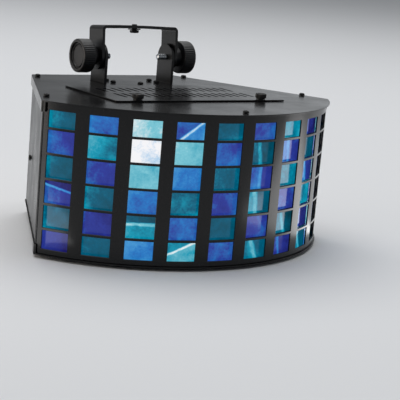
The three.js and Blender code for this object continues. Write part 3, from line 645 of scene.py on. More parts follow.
def fluted(bm: BMesh, count: int, depth: float, inner: float) -> BMesh:
    """Cuts upright flutes round a turned body's rim.

    Args:
        bm: The turned body, about Z.
        count: How many flutes.
        depth: Their depth.
        inner: Points further out than this are moved.

    Returns:
        The same mesh.
    """
    for vert in bm.verts:
        radius = math.hypot(vert.co.x, vert.co.y)
        if radius > inner:
            wave = 0.5 - 0.5 * math.cos(count * math.atan2(vert.co.y, vert.co.x))
            share = 1 - depth * wave / radius
            vert.co.x *= share
            vert.co.y *= share
    return bm


def slot_shape(width: float, length: float, height: float, segments: int = 12) -> BMesh:
    """Makes an upright round-ended body, longest along Y and centred on the origin.

    Args:
        width: Its width along X.
        length: Its length along Y, ends included.
        height: Its height, half of it below zero.
        segments: How many sides its two half-round ends have together.

    Returns:
        The body's mesh.
    """
    bm = bmesh.new()
    bmesh.ops.create_circle(bm, cap_ends=True, segments=segments, radius=width / 2)
    geom = bm.verts[:] + bm.edges[:] + bm.faces[:]
    bmesh.ops.bisect_plane(bm, geom=geom, dist=CLEAN, plane_co=(0, 0, 0), plane_no=(0, 1, 0))
    reach = (length - width) / 2
    for vert in bm.verts:
        if abs(vert.co.y) > CLEAN:
            vert.co.y += math.copysign(reach, vert.co.y)
        vert.co.z = -height / 2
    return upright(bm, height)


def joined(*parts: BMesh) -> BMesh:
    """Puts separate meshes side by side in one."""
    whole = bmesh.new()
    for part in parts:
        mesh = bpy.data.meshes.new("part")
        part.to_mesh(mesh)
        whole.from_mesh(mesh)
        bpy.data.meshes.remove(mesh)
        part.free()
    return whole


class Cut(Enum):
    """How one solid acts on another."""

    TAKE_AWAY = "DIFFERENCE"
    ADD = "UNION"
    KEEP_SHARED = "INTERSECT"


def shaped(body: BMesh, tool: BMesh, how: Cut = Cut.TAKE_AWAY) -> BMesh:
    """Cuts a closed body with another, or adds it.

    Args:
        body: The body.
        tool: The solid that acts on it.
        how: What it does.

    Returns:
        The resulting mesh. Both inputs are used up.
    """
    objects = []
    for part in (body, tool):
        bmesh.ops.recalc_face_normals(part, faces=part.faces)
        mesh = bpy.data.meshes.new("shaping")
        part.to_mesh(mesh)
        part.free()
        made = bpy.data.objects.new("shaping", mesh)
        bpy.context.scene.collection.objects.link(made)
        objects.append(made)
    modifier = objects[0].modifiers.new("shape", "BOOLEAN")
    modifier.operation = how.value
    modifier.solver = "EXACT"
    modifier.object = objects[1]
    graph = bpy.context.evaluated_depsgraph_get()
    result = bpy.data.meshes.new_from_object(objects[0].evaluated_get(graph))
    bm = bmesh.new()
    bm.from_mesh(result)
    bpy.data.meshes.remove(result)
    for made in objects:
        mesh = made.data
        bpy.data.objects.remove(made)
        bpy.data.meshes.remove(mesh)
    bmesh.ops.remove_doubles(bm, verts=bm.verts, dist=CLEAN)
    bmesh.ops.dissolve_limit(bm, angle_limit=math.radians(0.5), verts=bm.verts, edges=bm.edges)
    return bm


def eased(
    bm: BMesh,
    width: float,
    segments: int = 2,
    sharper_than: float = 32.0,
    wanted: Callable[[BMEdge], bool] | None = None,
) -> BMesh:
    """Rounds a body's edges.

    Args:
        bm: The body.
        width: The width of the rounding.
        segments: How many steps it has.
        sharper_than: Only edges that fold by more than this angle in degrees are rounded.
        wanted: Picks among these edges, where given.

    Returns:
        The same mesh.
    """
    bm.normal_update()
    limit = math.radians(sharper_than)
    edges = [
        edge
        for edge in bm.edges
        if len(edge.link_faces) == 2
        and edge.calc_face_angle(0.0) > limit
        and (wanted is None or wanted(edge))
    ]
    bmesh.ops.bevel(
        bm,
        geom=edges,
        offset=width,
        offset_type="OFFSET",
        segments=segments,
        profile=0.5,
        affect="EDGES",
        clamp_overlap=True,
        material=-1,
    )
    return bm


def solid_copy(node: str) -> BMesh:
    """Copies a CAD node's mesh, merged into whole faces.

    Args:
        node: The node's name.

    Returns:
        The copy.
    """
    bm = bmesh.new()
    bm.from_mesh(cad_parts[node].data)
    bmesh.ops.remove_doubles(bm, verts=bm.verts, dist=5 * CLEAN)
    bmesh.ops.dissolve_limit(bm, angle_limit=math.radians(1.0), verts=bm.verts, edges=bm.edges)
    for layer in list(bm.loops.layers.uv):
        bm.loops.layers.uv.remove(layer)
    return bm


def finished(
    bm: BMesh,
    name: str,
    body: str,
    finishes: Sequence[Finishes],
    stands_for: Sequence[str] = (),
    pick: Callable[[BMFace], int] | None = None,
    smooth: float = 40.0,
) -> bpy.types.Object:
    """Makes a finished piece of a mesh and hangs it on its body.

    Args:
        bm: The mesh, in place.
        name: The piece's name.
        body: The body that it moves with.
        finishes: Its finishes.
        stands_for: The CAD nodes that it replaces.
        pick: Gives the index of a face's finish, where there are several.
        smooth: Edges that fold by more than this angle in degrees stay sharp.

    Returns:
        The piece.
    """
    mesh = bpy.data.meshes.new(name)
    if pick:
        bm.normal_update()
        for face in bm.faces:
            face.material_index = pick(face)
    else:
        for face in bm.faces:
            face.material_index = min(face.material_index, len(finishes) - 1)
    bm.to_mesh(mesh)
    bm.free()
    for finish in finishes:
        mesh.materials.append(finish.value.make())
    mesh.shade_smooth()
    mesh.set_sharp_from_angle(angle=math.radians(smooth))
    piece = bpy.data.objects.new(name, mesh)
    bpy.context.scene.collection.objects.link(piece)
    even = piece.modifiers.new("even shading", "WEIGHTED_NORMAL")
    even.keep_sharp = True
    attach(piece, body)
    if stands_for:
        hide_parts(*stands_for)
    log.info("%s: %d faces, on %s", name, len(mesh.polygons), body)
    return piece


# Sub-assemblies


@dataclass
class Plan:
    """The half-moon plan that the housing's pieces share, measured from the axis of the curved front."""

    centre_y: float = 53.1 * MM
    sheet: float = 1.2 * MM
    lens_radius: float = 190 * MM
    cover_radius: float = 193 * MM
    half_angle: float = math.radians(59.6)
    rear_half_width: float = 88 * MM
    rear_depth: float = 75 * MM
    arc_steps: int = 360
    play: float = 0.3 * MM

    def corner(self) -> Vector:
        """Gives the cover's right front corner, from the axis of the curved front."""
        return Vector((math.sin(self.half_angle), -math.cos(self.half_angle))) * self.cover_radius

    def along(self) -> Vector:
        """Gives the right side's direction, towards the rear."""
        return (Vector((self.rear_half_width, self.rear_depth)) - self.corner()).normalized()

    def inward(self) -> Vector:
        """Gives the direction square to the right side, inward."""
        along = self.along()
        return Vector((-along.y, along.x))

    def lifted(self, z: float = 0.0) -> Matrix:
        """Gives the matrix from the axis of the curved front to the frame, at a height."""
        return Matrix.Translation((0, self.centre_y, z))

    def half_moon(self, radius: float, inset: float, rear_inset: float, height: float) -> BMesh:
        """Makes an upright body over the housing's plan, its underside on z = 0 of the front's axis.

        Args:
            radius: The curved front's radius.
            inset: How far its sides stand in from the cover's.
            rear_inset: How far its rear stands in.
            height: The body's height.

        Returns:
            The body's mesh.
        """
        bm = bmesh.new()
        bmesh.ops.create_circle(bm, cap_ends=True, segments=self.arc_steps, radius=radius)
        inward, corner = self.inward(), self.corner()
        cuts = [(Vector((0, self.rear_depth - rear_inset)), Vector((0, 1)))]
        for side in (1, -1):
            at = corner + inward * inset
            cuts.append((Vector((side * at.x, at.y)), Vector((-side * inward.x, -inward.y))))
        for point, outward in cuts:
            bmesh.ops.bisect_plane(
                bm,
                geom=bm.verts[:] + bm.edges[:] + bm.faces[:],
                dist=CLEAN,
                plane_co=(*point, 0),
                plane_no=(*outward, 0),
                clear_outer=True,
            )
        return upright(bm, height)

    def side_hollow(self, inset: float, rear_inset: float, height: float, z: float) -> BMesh:
        """Makes the space between the housing's two sides, open far past the front.

        Args:
            inset: How far its sides stand in from the cover's.
            rear_inset: How far its rear stands in.
            height: Its height.
            z: Its underside.

        Returns:
            The space's mesh.
        """
        inward, along, corner = self.inward(), self.along(), self.corner()
        at = corner + inward * inset
        front = at - along * self.lens_radius
        rear = at + along * ((self.rear_depth - rear_inset - at.y) / along.y)
        points = [(-rear.x, rear.y), (-front.x, front.y), (front.x, front.y), (rear.x, rear.y)]
        return outline(points, height, z)


@dataclass
class Fixings:
    """Pan-head screws with a cross recess, one for each of the CAD model's screws."""

    plan: Plan
    head: float = 3.0 * MM
    height: float = 2.4 * MM
    shank: float = 1.5 * MM
    length: float = 4.5 * MM
    recess: float = 1.7 * MM
    recess_width: float = 0.55 * MM
    recess_depth: float = 1.2 * MM
    recess_foot: tuple[float, float] = (0.45, 0.6)
    sides: int = 24
    seed: int = 11

    def screw(self) -> BMesh:
        """Makes one screw standing on z = 0, its shank down."""
        profile = [
            (0, -self.length), (self.shank * 0.6, -self.length),
            (self.shank, -self.length + self.shank * 0.6), (self.shank, 0), (self.head, 0),
            (self.head, self.height * 0.25), (self.head * 0.95, self.height * 0.52),
            (self.head * 0.82, self.height * 0.78), (self.head * 0.58, self.height * 0.94),
            (self.head * 0.3, self.height), (0, self.height),
        ]
        cross = []
        for turn in (0, 90):
            arm = block(
                (-self.recess, -self.recess_width, self.height - self.recess_depth),
                (self.recess, self.recess_width, self.height * 2),
            )
            low = [v for v in arm.verts if v.co.z < self.height]
            bmesh.ops.scale(arm, vec=(*self.recess_foot, 1), verts=low)
            cross.append(placed(arm, Matrix.Rotation(math.radians(turn), 4, "Z")))
        tool = shaped(cross[0], cross[1], Cut.ADD)
        return shaped(turned(profile, self.sides), tool)

    def build(self) -> None:
        """Puts a screw in place of each CAD screw but the thumb screws, each turned by its own angle."""
        spin = random.Random(self.seed)
        pattern = self.screw()
        names = [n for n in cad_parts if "_screw" in n and not n.startswith("thumb")]
        for name in sorted(names):
            low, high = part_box(name)
            turn = Matrix.Rotation(spin.uniform(0, math.pi / 2), 4, "Z")
            if name.startswith("side_screw"):
                side = 1 if name.endswith("right") else -1
                inward = self.plan.inward()
                outward = Vector((-inward.x * side, -inward.y, 0))
                facing = outward.to_track_quat("Z", "Y").to_matrix().to_4x4()
                middle = (low + high) / 2
                seat = middle + outward * ((self.length - self.height) / 2)
                matrix = Matrix.Translation(seat) @ facing @ turn
            else:
                spot = Vector(((low.x + high.x) / 2, (low.y + high.y) / 2, high.z - self.height))
                matrix = Matrix.Translation(spot) @ turn
            screw = placed(pattern.copy(), matrix)
            finished(screw, name + "_cross_head", "housing", [Finishes.OXIDE], [name], smooth=50)
        pattern.free()


@dataclass
class Housing:
    """The sheet-steel housing: cover, curved front, side panels, base pan and feet.

    The opening under the hatch is measured from the axis of the curved front. Tabs close the cover's front
    corners, and a dark strip lies along the side panels' lower edges: painted shade for the shaded gap there.
    """

    plan: Plan
    flange: float = 10.5 * MM
    fold: float = 1.1 * MM
    burr: float = 0.25 * MM
    opening_half_width: float = 88 * MM
    opening_front: float = -102 * MM
    opening_rear: float = -13 * MM
    columns: int = 10
    pitch: float = math.radians(11.92)
    window: float = math.radians(7.92)
    row_shares: tuple[float, ...] = (0.15, 0.179, 0.179, 0.179, 0.179, 0.134)
    bar: float = 2.35 * MM
    lowest: float = 6.3 * MM
    highest: float = 8.2 * MM
    wall: float = 1.5 * MM
    inner_radius: float = 170 * MM
    arm_inner: float = 38.5 * MM
    arm_bar: float = 3 * MM
    tab_step: float = 0.6 * MM
    tab_reach: float = 3.6 * MM
    shade_strip_height: float = 1.8 * MM
    shade_strip_inset: float = 0.5 * MM
    shade_strip_thickness: float = 0.9 * MM
    shade_strip_front: float = 8 * MM
    shade_strip_rear: float = 3 * MM
    opening_corner: float = 3 * MM
    shortest_fold: float = 15 * MM
    front_steps: int = 6

    def rows(self) -> list[tuple[float, float]]:
        """Gives each row's lower and upper edge, lowest row first."""
        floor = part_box("base_pan")[0].z
        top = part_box("top_cover")[1].z
        clear = top - self.highest - floor - self.lowest - self.bar * (len(self.row_shares) - 1)
        rows, z = [], floor + self.lowest
        for share in self.row_shares:
            rows.append((z, z + clear * share))
            z += clear * share + self.bar
        return rows

    def angles(self) -> list[float]:
        """Gives each column's angle, the left column first."""
        return [(i - (self.columns - 1) / 2) * self.pitch for i in range(self.columns)]

    def build(self) -> None:
        """Builds the housing's pieces."""
        self.cover()
        self.front()
        self.plates()
        self.shade_strip()
        self.feet()

    def cover(self) -> None:
        """Folds the cover: a plate with flanges at its sides and rear, and the hatch's opening."""
        plan = self.plan
        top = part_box("top_cover")[1].z
        body = plan.half_moon(plan.cover_radius, 0, 0, self.flange)
        body = shaped(body, plan.side_hollow(plan.sheet, plan.sheet, self.flange, -plan.sheet))
        opening = block(
            (-self.opening_half_width, self.opening_front, 0),
            (self.opening_half_width, self.opening_rear, self.flange * 2),
        )
        eased(opening, self.opening_corner, 4, wanted=lambda e: span(e, Axis.Z) > self.flange)
        body = shaped(body, opening)
        tabs = plan.half_moon(plan.cover_radius - self.tab_step, plan.sheet / 2, 0, self.flange)
        tabs = shaped(tabs, plan.side_hollow(self.tab_reach, -plan.sheet, self.flange * 2, -plan.sheet))
        tabs = shaped(tabs, disc(plan.lens_radius + 0.1 * MM, plan.arc_steps, self.flange * 2, -plan.sheet))
        body = shaped(body, tabs, Cut.ADD)
        gap, shift = plan.play, plan.centre_y
        slots = []
        for node in ("bracket_arm_left", "bracket_arm_right"):
            low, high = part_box(node)
            inner = self.arm_inner if low.x > 0 else -self.arm_inner - self.arm_bar
            slots.append(
                block(
                    (inner - gap, low.y - shift - gap, self.flange / 2),
                    (inner + self.arm_bar + gap, high.y - shift + gap, self.flange * 2),
                )
            )
        body = shaped(body, joined(*slots))
        high = self.flange - CLEAN

        def outside(vert: BMVert) -> bool:
            """Says whether a point of the cover's top lies clear of the opening."""
            beside = abs(vert.co.x) > self.opening_half_width + MM
            past = vert.co.y < self.opening_front or vert.co.y > self.opening_rear
            return vert.co.z > high and (past or beside)

        def is_fold(edge: BMEdge) -> bool:
            """Picks the long straight edges where the flanges are folded down."""
            return edge.calc_length() > self.shortest_fold and all(outside(vert) for vert in edge.verts)

        eased(body, self.fold, 4, 60, is_fold)
        eased(body, self.burr, 2, 50)
        placed(body, plan.lifted(top - self.flange))
        finished(body, "folded_cover", "housing", [Finishes.ENAMEL], ["top_cover"], smooth=30)

    def front(self) -> None:
        """Punches, rolls and flanges the curved front panel."""
        low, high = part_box("lens_panel")
        plan = self.plan
        inset = (plan.sheet + plan.play) * 2
        at = plan.corner() + plan.inward() * inset
        half = at.dot(plan.along())
        back = -half - math.sqrt(half * half - (at.length_squared - plan.lens_radius**2))
        end_point = at + plan.along() * back
        end = math.atan2(end_point.x, -end_point.y)
        bm = bmesh.new()
        bmesh.ops.create_grid(bm, x_segments=1, y_segments=1, size=0.5)
        for vert in bm.verts:
            vert.co = Vector((vert.co.x * 2 * end, 0, low.z if vert.co.y < 0 else high.z))
        rows = self.rows()
        stops = [a + s * self.window / 2 for a in self.angles() for s in (-1, 1)]
        fill = [
            left + (right - left) * i / self.front_steps
            for left, right in zip([-end] + stops, stops + [end])
            for i in range(1, self.front_steps)
        ]
        for angle in stops + fill:
            self.slice(bm, (angle, 0, 0), (1, 0, 0))
        for z in [edge for row in rows for edge in row]:
            self.slice(bm, (0, 0, z), (0, 0, 1))
        openings = []
        for face in bm.faces:
            middle = face.calc_center_median()
            in_row = any(a < middle.z < b for a, b in rows)
            in_column = any(abs(middle.x - angle) < self.window / 2 for angle in self.angles())
            if in_row and in_column:
                openings.append(face)
        bmesh.ops.delete(bm, geom=openings, context="FACES")
        rims = [e for e in bm.edges if e.is_boundary and all(v.co.z in (low.z, high.z) for v in e.verts)]
        folded = bmesh.ops.extrude_edge_only(bm, edges=rims)
        inner = {item for item in folded["geom"] if isinstance(item, BMVert)}
        for vert in bm.verts:
            radius = self.inner_radius if vert in inner else plan.lens_radius
            angle = vert.co.x
            vert.co = Vector((radius * math.sin(angle), -radius * math.cos(angle), vert.co.z))
        bm.normal_update()
        bmesh.ops.recalc_face_normals(bm, faces=bm.faces)
        sample = min(bm.faces, key=lambda f: f.calc_center_median().y)
        if sample.normal.y > 0:
            bmesh.ops.reverse_faces(bm, faces=bm.faces)
        bmesh.ops.solidify(bm, geom=bm.faces[:], thickness=self.wall)
        eased(bm, self.burr, 1, 50)
        placed(bm, plan.lifted())
        finished(bm, "curved_front", "housing", [Finishes.ENAMEL], ["lens_panel"], smooth=30)

    @staticmethod
    def slice(bm: BMesh, point: Sequence[float], across: Sequence[float]) -> None:
        """Divides a flat sheet along a line.

        Args:
            bm: The sheet.
            point: A point of the line.
            across: The direction square to it.
        """
        geom = bm.verts[:] + bm.edges[:] + bm.faces[:]
        bmesh.ops.bisect_plane(bm, geom=geom, dist=SHARP_CUT, plane_co=point, plane_no=across)

    def plates(self) -> None:
        """Eases the edges of the side panels and the base pan."""
        for node in ("left_side", "right_side", "base_pan"):
            bm = eased(solid_copy(node), self.burr, 2, 40)
            finished(bm, node + "_sheet", "housing", [Finishes.SATIN], [node], smooth=30)

    def shade_strip(self) -> None:
        """Lays a dark strip in the rubber finish along the lower edge of each side panel: painted shade for the
        shaded gap there.
        """
        plan = self.plan
        corner, along = plan.corner(), plan.along()
        outer = corner + plan.inward() * self.shade_strip_inset
        inner = outer + plan.inward() * self.shade_strip_thickness
        reach = (plan.rear_depth - corner.y) / along.y - self.shade_strip_rear
        for side, node in ((1, "right_side"), (-1, "left_side")):
            points = [outer + along * self.shade_strip_front, outer + along * reach]
            points += [inner + along * reach, inner + along * self.shade_strip_front]
            bm = outline([(side * p.x, p.y) for p in points[::side]], self.shade_strip_height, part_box(node)[0].z)
            placed(eased(bm, self.burr, 2, 40), plan.lifted())
            # painted shade: the dark strip stands for the shade under the side panel's lower edge
            finished(bm, node + "_shade_strip", "housing", [Finishes.RUBBER])

    def feet(self) -> None:
        """Turns the four rubber feet, each with the recess of its rivet."""
        for node in sorted(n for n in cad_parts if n.startswith("foot_")):
            low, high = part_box(node)
            radius, height = (high.x - low.x) / 2, high.z - low.z
            profile = [
                (0, 1.1 * MM), (2.6 * MM, 1.1 * MM), (3.0 * MM, 0.15 * MM), (3.4 * MM, 0),
                (radius - 1.0 * MM, 0), (radius - 0.3 * MM, 0.5 * MM), (radius, height),
                (0, height),
            ]
            spot = Matrix.Translation(((low.x + high.x) / 2, (low.y + high.y) / 2, low.z))
            bm = placed(turned(profile, 40), spot)
            finished(bm, node + "_rubber", "housing", [Finishes.RUBBER], [node])


@dataclass
class GlassTiles:
    """The coloured tiles behind the windows, six to a column.

    The tiles glow as painted light, an emission in place of the drum's light through them. Each bright spot is
    a place seen from the front, as X and Z, with its reach and what it adds to the brightness of a tile there;
    one with a negative gain paints shade. The streaked share of the left tiles and the bent_light share of the
    right ones have a streak. On the right the drum's light strikes the tiles aslant, so there the streaks are
    steep, wide and faint. Towards both ends of the front the light falls off from left to right across a tile.
    """

    housing: Housing
    setback: float = 5 * MM
    thickness: float = 2 * MM
    gap: float = 0.5 * MM
    ground_edge: float = 0.35 * MM
    bright_spots: tuple[tuple[float, float, float, float], ...] = (
        (-92 * MM, 121 * MM, 20 * MM, 0.48),
        (-92 * MM, 96 * MM, 20 * MM, 0.48),
        (-57 * MM, 108 * MM, 22 * MM, 0.44),
        (-76 * MM, 18 * MM, 36 * MM, 0.4),
        (-140 * MM, 52 * MM, 38 * MM, -0.19),
        (-40 * MM, 44 * MM, 22 * MM, -0.16),
    )
    base_light: float = 0.36
    light_spread: tuple[float, float] = (-0.13, 0.1)
    brightest: float = 1.05
    streaked: float = 0.14
    bent_light: float = 0.6
    widest_offset: float = 4 * MM
    streak_reach: tuple[float, float] = (1.0 * MM, 1.6 * MM)
    steep_turn: float = -1.35
    steep_spread: float = 0.25
    steep_width: float = 1.8
    steep_share: float = 0.6
    falloff: float = 0.2
    falloff_spread: float = 0.04
    seed: int = 8

    def brightness(self, middle: Vector, chance: random.Random) -> float:
        """Gives a tile's brightness from its distance to the spots where the drum's light gathers.

        Args:
            middle: The tile's middle.
            chance: The source of its small deviation.

        Returns:
            The brightness, from 0 to about 1.
        """
        lit = self.base_light + chance.uniform(*self.light_spread)
        for x, z, reach, gain in self.bright_spots:
            away = math.hypot(middle.x - x, middle.z - z) / reach
            lit += gain * math.exp(-away * away)
        return min(lit, self.brightest)

    def build(self) -> None:
        """Sets a tile behind each window, aqua and blue by turns like a chessboard."""
        chance = random.Random(self.seed)
        rows = self.housing.rows()
        plan = self.housing.plan
        for column, angle in enumerate(self.housing.angles()):
            low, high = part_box(f"glass_strip_{column + 1}")
            strip = high.x - low.x
            width = (strip - abs(math.sin(angle)) * self.thickness) / math.cos(angle)
            for row, (bottom, top) in enumerate(reversed(rows)):
                z0 = low.z if row == len(rows) - 1 else bottom - self.housing.bar / 2 + self.gap / 2
                z1 = high.z if row == 0 else top + self.housing.bar / 2 - self.gap / 2
                bm = block((-width / 2, 0, z0), (width / 2, self.thickness, z1))
                eased(bm, self.ground_edge, 2)
                turn = chance.uniform(-1.0, 1.0)
                offset = chance.uniform(-self.widest_offset, self.widest_offset)
                reach = chance.uniform(*self.streak_reach)
                far_right = column >= self.housing.columns // 2
                streak = 1.0 if chance.random() < (self.bent_light if far_right else self.streaked) else 0.0
                if far_right:
                    turn = self.steep_turn + turn * self.steep_spread
                    reach *= self.steep_width
                    streak *= self.steep_share
                centre = (bottom + top) / 2
                across = [
                    ((v.co.z - centre) * math.cos(turn) - v.co.x * math.sin(turn) - offset) / reach
                    for v in bm.verts
                ]
                drift = -self.falloff * math.sin(angle) ** 2
                drift += chance.uniform(-self.falloff_spread, self.falloff_spread)
                shares = [v.co.x / width * 2 for v in bm.verts]
                radius = plan.lens_radius - self.setback
                matrix = (
                    plan.lifted()
                    @ Matrix.Translation((radius * math.sin(angle), -radius * math.cos(angle), 0))
                    @ Matrix.Rotation(angle, 4, "Z")
                )
                placed(bm, matrix)
                outward = Vector((math.sin(angle), -math.cos(angle), 0))
                lit = self.brightness(matrix @ Vector((0, 0, centre)), chance)
                finish = Finishes.AQUA if (column + row) % 2 == 0 else Finishes.BLUE
                tile = finished(
                    bm,
                    f"tile_column_{column + 1}_row_{row + 1}",
                    "housing",
                    [finish, Finishes.GROUND],
                    [f"glass_strip_{column + 1}"],
                    pick=lambda face: int(abs(face.normal.dot(outward)) < 0.5),
                )
                # painted light and shade: each tile's glow level, its falloff and its streak go into its
                # emission
                shine = tile.data.attributes.new("lit", "FLOAT", "POINT")
                shine.data.foreach_set("value", [lit + drift * share for share in shares])
                line = tile.data.attributes.new("streak", "FLOAT_VECTOR", "POINT")
                line.data.foreach_set("vector", [value for a in across for value in (a, streak, 0.0)])


@dataclass
class Hatch:
    """The vented lamp hatch and its two thumb screws.

    Its rear edge and its rows of slots are measured from the axis of the curved front.
    """

    rear: float = -14 * MM
    slot_count: int = 18
    slot_pitch: float = 8.7 * MM
    slot_width: float = 3.4 * MM
    slot_length: float = 24.5 * MM
    slot_rows: tuple[float, float] = (-44.5 * MM, -80.5 * MM)
    sheet: float = 1.2 * MM
    neck: float = 1.2 * MM
    hook_reach: float = 6.0 * MM
    hook_width: float = 14 * MM
    hook_x: float = 58 * MM
    corner: float = 3 * MM
    thumb_height: float = 5.4 * MM
    thumb_neck: float = 1.0 * MM

    def build(self, plan: Plan) -> None:
        """Builds the lid and its screws."""
        low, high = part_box("lamp_hatch")
        rear = self.rear + plan.centre_y
        lid = block((low.x, low.y, high.z - self.sheet), (high.x, rear, high.z))
        eased(lid, self.corner, 5, wanted=lambda e: span(e, Axis.Z) > self.sheet / 2)
        for side in (-1, 1):
            x = side * self.hook_x
            half = self.hook_width / 2
            neck = block((x - half, rear - self.neck, low.z), (x + half, rear, high.z - self.sheet / 2))
            toe = block((x - half, rear - self.neck, low.z), (x + half, high.y, low.z + self.sheet))
            lid = shaped(lid, shaped(neck, toe, Cut.ADD), Cut.ADD)
        slots = []
        for y in self.slot_rows:
            for i in range(self.slot_count):
                x = (i - (self.slot_count - 1) / 2) * self.slot_pitch
                place = Matrix.Translation((x, y + plan.centre_y, high.z))
                slots.append(placed(slot_shape(self.slot_width, self.slot_length, 6 * MM), place))
        lid = shaped(lid, joined(*slots))
        eased(lid, 0.3 * MM, 2, 50)
        finished(lid, "vented_lid", "hatch", [Finishes.ENAMEL], ["lamp_hatch"], smooth=30)
        self.thumb_screws()

    def thumb_screws(self) -> None:
        """Turns and knurls the thumb screws."""
        for side in ("left", "right"):
            node = "thumb_screw_" + side
            low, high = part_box(node)
            spot = Matrix.Translation(((low.x + high.x) / 2, (low.y + high.y) / 2, high.z))
            radius = (high.x - low.x) / 2
            seat = -self.thumb_height
            under = seat + self.thumb_neck
            tip = low.z - high.z
            profile = [
                (0, tip), (1.4 * MM, tip), (2.0 * MM, tip + 0.7 * MM), (2.0 * MM, seat),
                (4.4 * MM, seat), (4.4 * MM, under), (radius - 0.5 * MM, under),
                (radius, under + 0.5 * MM), (radius, -0.9 * MM), (radius - 0.35 * MM, -0.3 * MM),
                (radius - 1.0 * MM, 0), (3.6 * MM, 0), (3.1 * MM, -0.7 * MM), (0, -0.7 * MM),
            ]
            head = placed(fluted(turned(profile, 96), 24, 0.4 * MM, radius - 0.4 * MM), spot)
            finished(head, node + "_knurled", node, [Finishes.NYLON], [node], smooth=45)


@dataclass
class Bracket:
    """The hanging bracket: two fixed arms, the tilting yoke, its studs, washers, knobs and hanging bolt."""

    pivot: Vector = field(default_factory=lambda: Vector((0, 73.3 * MM, 172.6 * MM)))
    lean: float = math.radians(5)
    bar: float = 3 * MM
    arm_inner: float = 38.5 * MM
    arm_half: float = 14 * MM
    foot_depth: float = 16 * MM
    knob_hub: float = 6 * MM
    yoke_outer: float = 45.3 * MM
    yoke_half: float = 13.5 * MM
    yoke_top: float = 31.2 * MM
    yoke_corner: float = 4.5 * MM
    yoke_bow: float = 0.6 * MM
    yoke_flat: float = 13 * MM
    edge: float = 0.6 * MM
    thread_pitch: float = 1.0 * MM
    thread_root: float = 2.5 * MM
    knob_ribs: int = 48

    def build(self) -> None:
        """Builds the bracket's pieces."""
        self.arms()
        self.yoke()
        self.studs()
        self.knobs()
        self.hanging()

    def on_pivot(self, x: float, side: int) -> Matrix:
        """Gives the matrix that turns +Z to the right (1) or the left (-1), on the pivot's axis at x."""
        turn = Matrix.Rotation(side * math.pi / 2, 4, "Y")
        return Matrix.Translation((x, self.pivot.y, self.pivot.z)) @ turn

    def bent_bar(self, path: Sequence[tuple[float, float]], half: float, rounds: tuple[bool, bool]) -> BMesh:
        """Bends a flat bar along a path in the XZ plane, its width along Y, its thickness towards the middle.

        Args:
            path: Points of the bar's outer face, in order, the bends already in short steps.
            half: Half the bar's width.
            rounds: Whether the first and the last end are half-round.

        Returns:
            The bar's mesh.
        """
        reach = [0.0]
        for a, b in zip(path, path[1:]):
            reach.append(reach[-1] + math.dist(a, b))
        total = reach[-1]
        steps = 14
        curve = [half * (1 - math.cos(i / steps * math.pi / 2)) for i in range(steps + 1)]
        stations = set(round(s, 8) for s in reach)
        if rounds[0]:
            stations |= {round(s, 8) for s in curve}
        if rounds[1]:
            stations |= {round(total - s, 8) for s in curve}
        ordered = sorted(stations)

        def spot(s: float) -> Vector:
            """Gives the path's point at a distance along it."""
            for i in range(len(reach) - 1):
                if s <= reach[i + 1] + SHARP_CUT:
                    share = (s - reach[i]) / (reach[i + 1] - reach[i])
                    a, b = path[i], path[i + 1]
                    return Vector((a[0] + (b[0] - a[0]) * share, 0, a[1] + (b[1] - a[1]) * share))
            return Vector((path[-1][0], 0, path[-1][1]))

        def half_at(s: float) -> float:
            """Gives the bar's half width at a distance along it."""
            near = min(s if rounds[0] else half, total - s if rounds[1] else half, half)
            return math.sqrt(max(0.0, half * half - (half - near) ** 2))

        bm = bmesh.new()
        bmesh.ops.create_grid(bm, x_segments=len(ordered) - 1, y_segments=2, size=0.5)
        columns = sorted({round(v.co.x, 6) for v in bm.verts})
        for vert in bm.verts:
            s = ordered[columns.index(round(vert.co.x, 6))]
            side = 0 if abs(vert.co.y) < 0.1 else math.copysign(1, vert.co.y)
            vert.co = spot(s) + Vector((0, side * half_at(s), 0))
        bmesh.ops.remove_doubles(bm, verts=bm.verts, dist=CLEAN)
        bm.normal_update()
        highest = max(bm.faces, key=lambda f: f.calc_center_median().z)
        middle = highest.calc_center_median()
        if highest.normal.dot(middle + Vector((0, 0, self.yoke_top))) < 0:
            bmesh.ops.reverse_faces(bm, faces=bm.faces)
        bmesh.ops.solidify(bm, geom=bm.faces[:], thickness=self.bar)
        bmesh.ops.recalc_face_normals(bm, faces=bm.faces)
        return eased(bm, self.edge, 3, 50)

    @staticmethod
    def arc(
        centre: tuple[float, float], radius: float, start: float, end: float, steps: int
    ) -> list[tuple[float, float]]:
        """Gives points of an arc.

        Args:
            centre: Its centre.
            radius: Its radius.
            start: The first angle in degrees, from +X towards +Z.
            end: The last angle.
            steps: How many steps lie between.

        Returns:
            The points, both ends included.
        """
        turns = [math.radians(start + (end - start) * i / steps) for i in range(steps + 1)]
        return [(centre[0] + radius * math.cos(t), centre[1] + radius * math.sin(t)) for t in turns]

    def arms(self) -> None:
        """Bends the two fixed arms, whose feet are pressed thinner and screwed to the cover's underside."""
        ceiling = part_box("top_cover")[1].z - 1.5 * MM - self.pivot.z
        for side, name in ((-1, "left"), (1, "right")):
            node = "bracket_arm_" + name
            low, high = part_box(node)
            foot = low.z - self.pivot.z
            outer = self.arm_inner + self.bar
            radius = self.bar + 1.0 * MM
            path = [(self.arm_inner - self.foot_depth, foot)]
            path += self.arc((outer - radius, foot + radius), radius, -90, 0, 8)
            path += [(outer, self.arm_half)]
            points = [(x * side, z) for x, z in path]
            bm = self.bent_bar(points, self.arm_half, (False, True))
            for vert in bm.verts:
                if abs(vert.co.x) < self.arm_inner - 0.1 * MM:
                    vert.co.z = min(vert.co.z, ceiling)
            placed(bm, Matrix.Translation(self.pivot))
            finished(bm, node + "_bent", "housing", [Finishes.POWDER], [node], smooth=35)

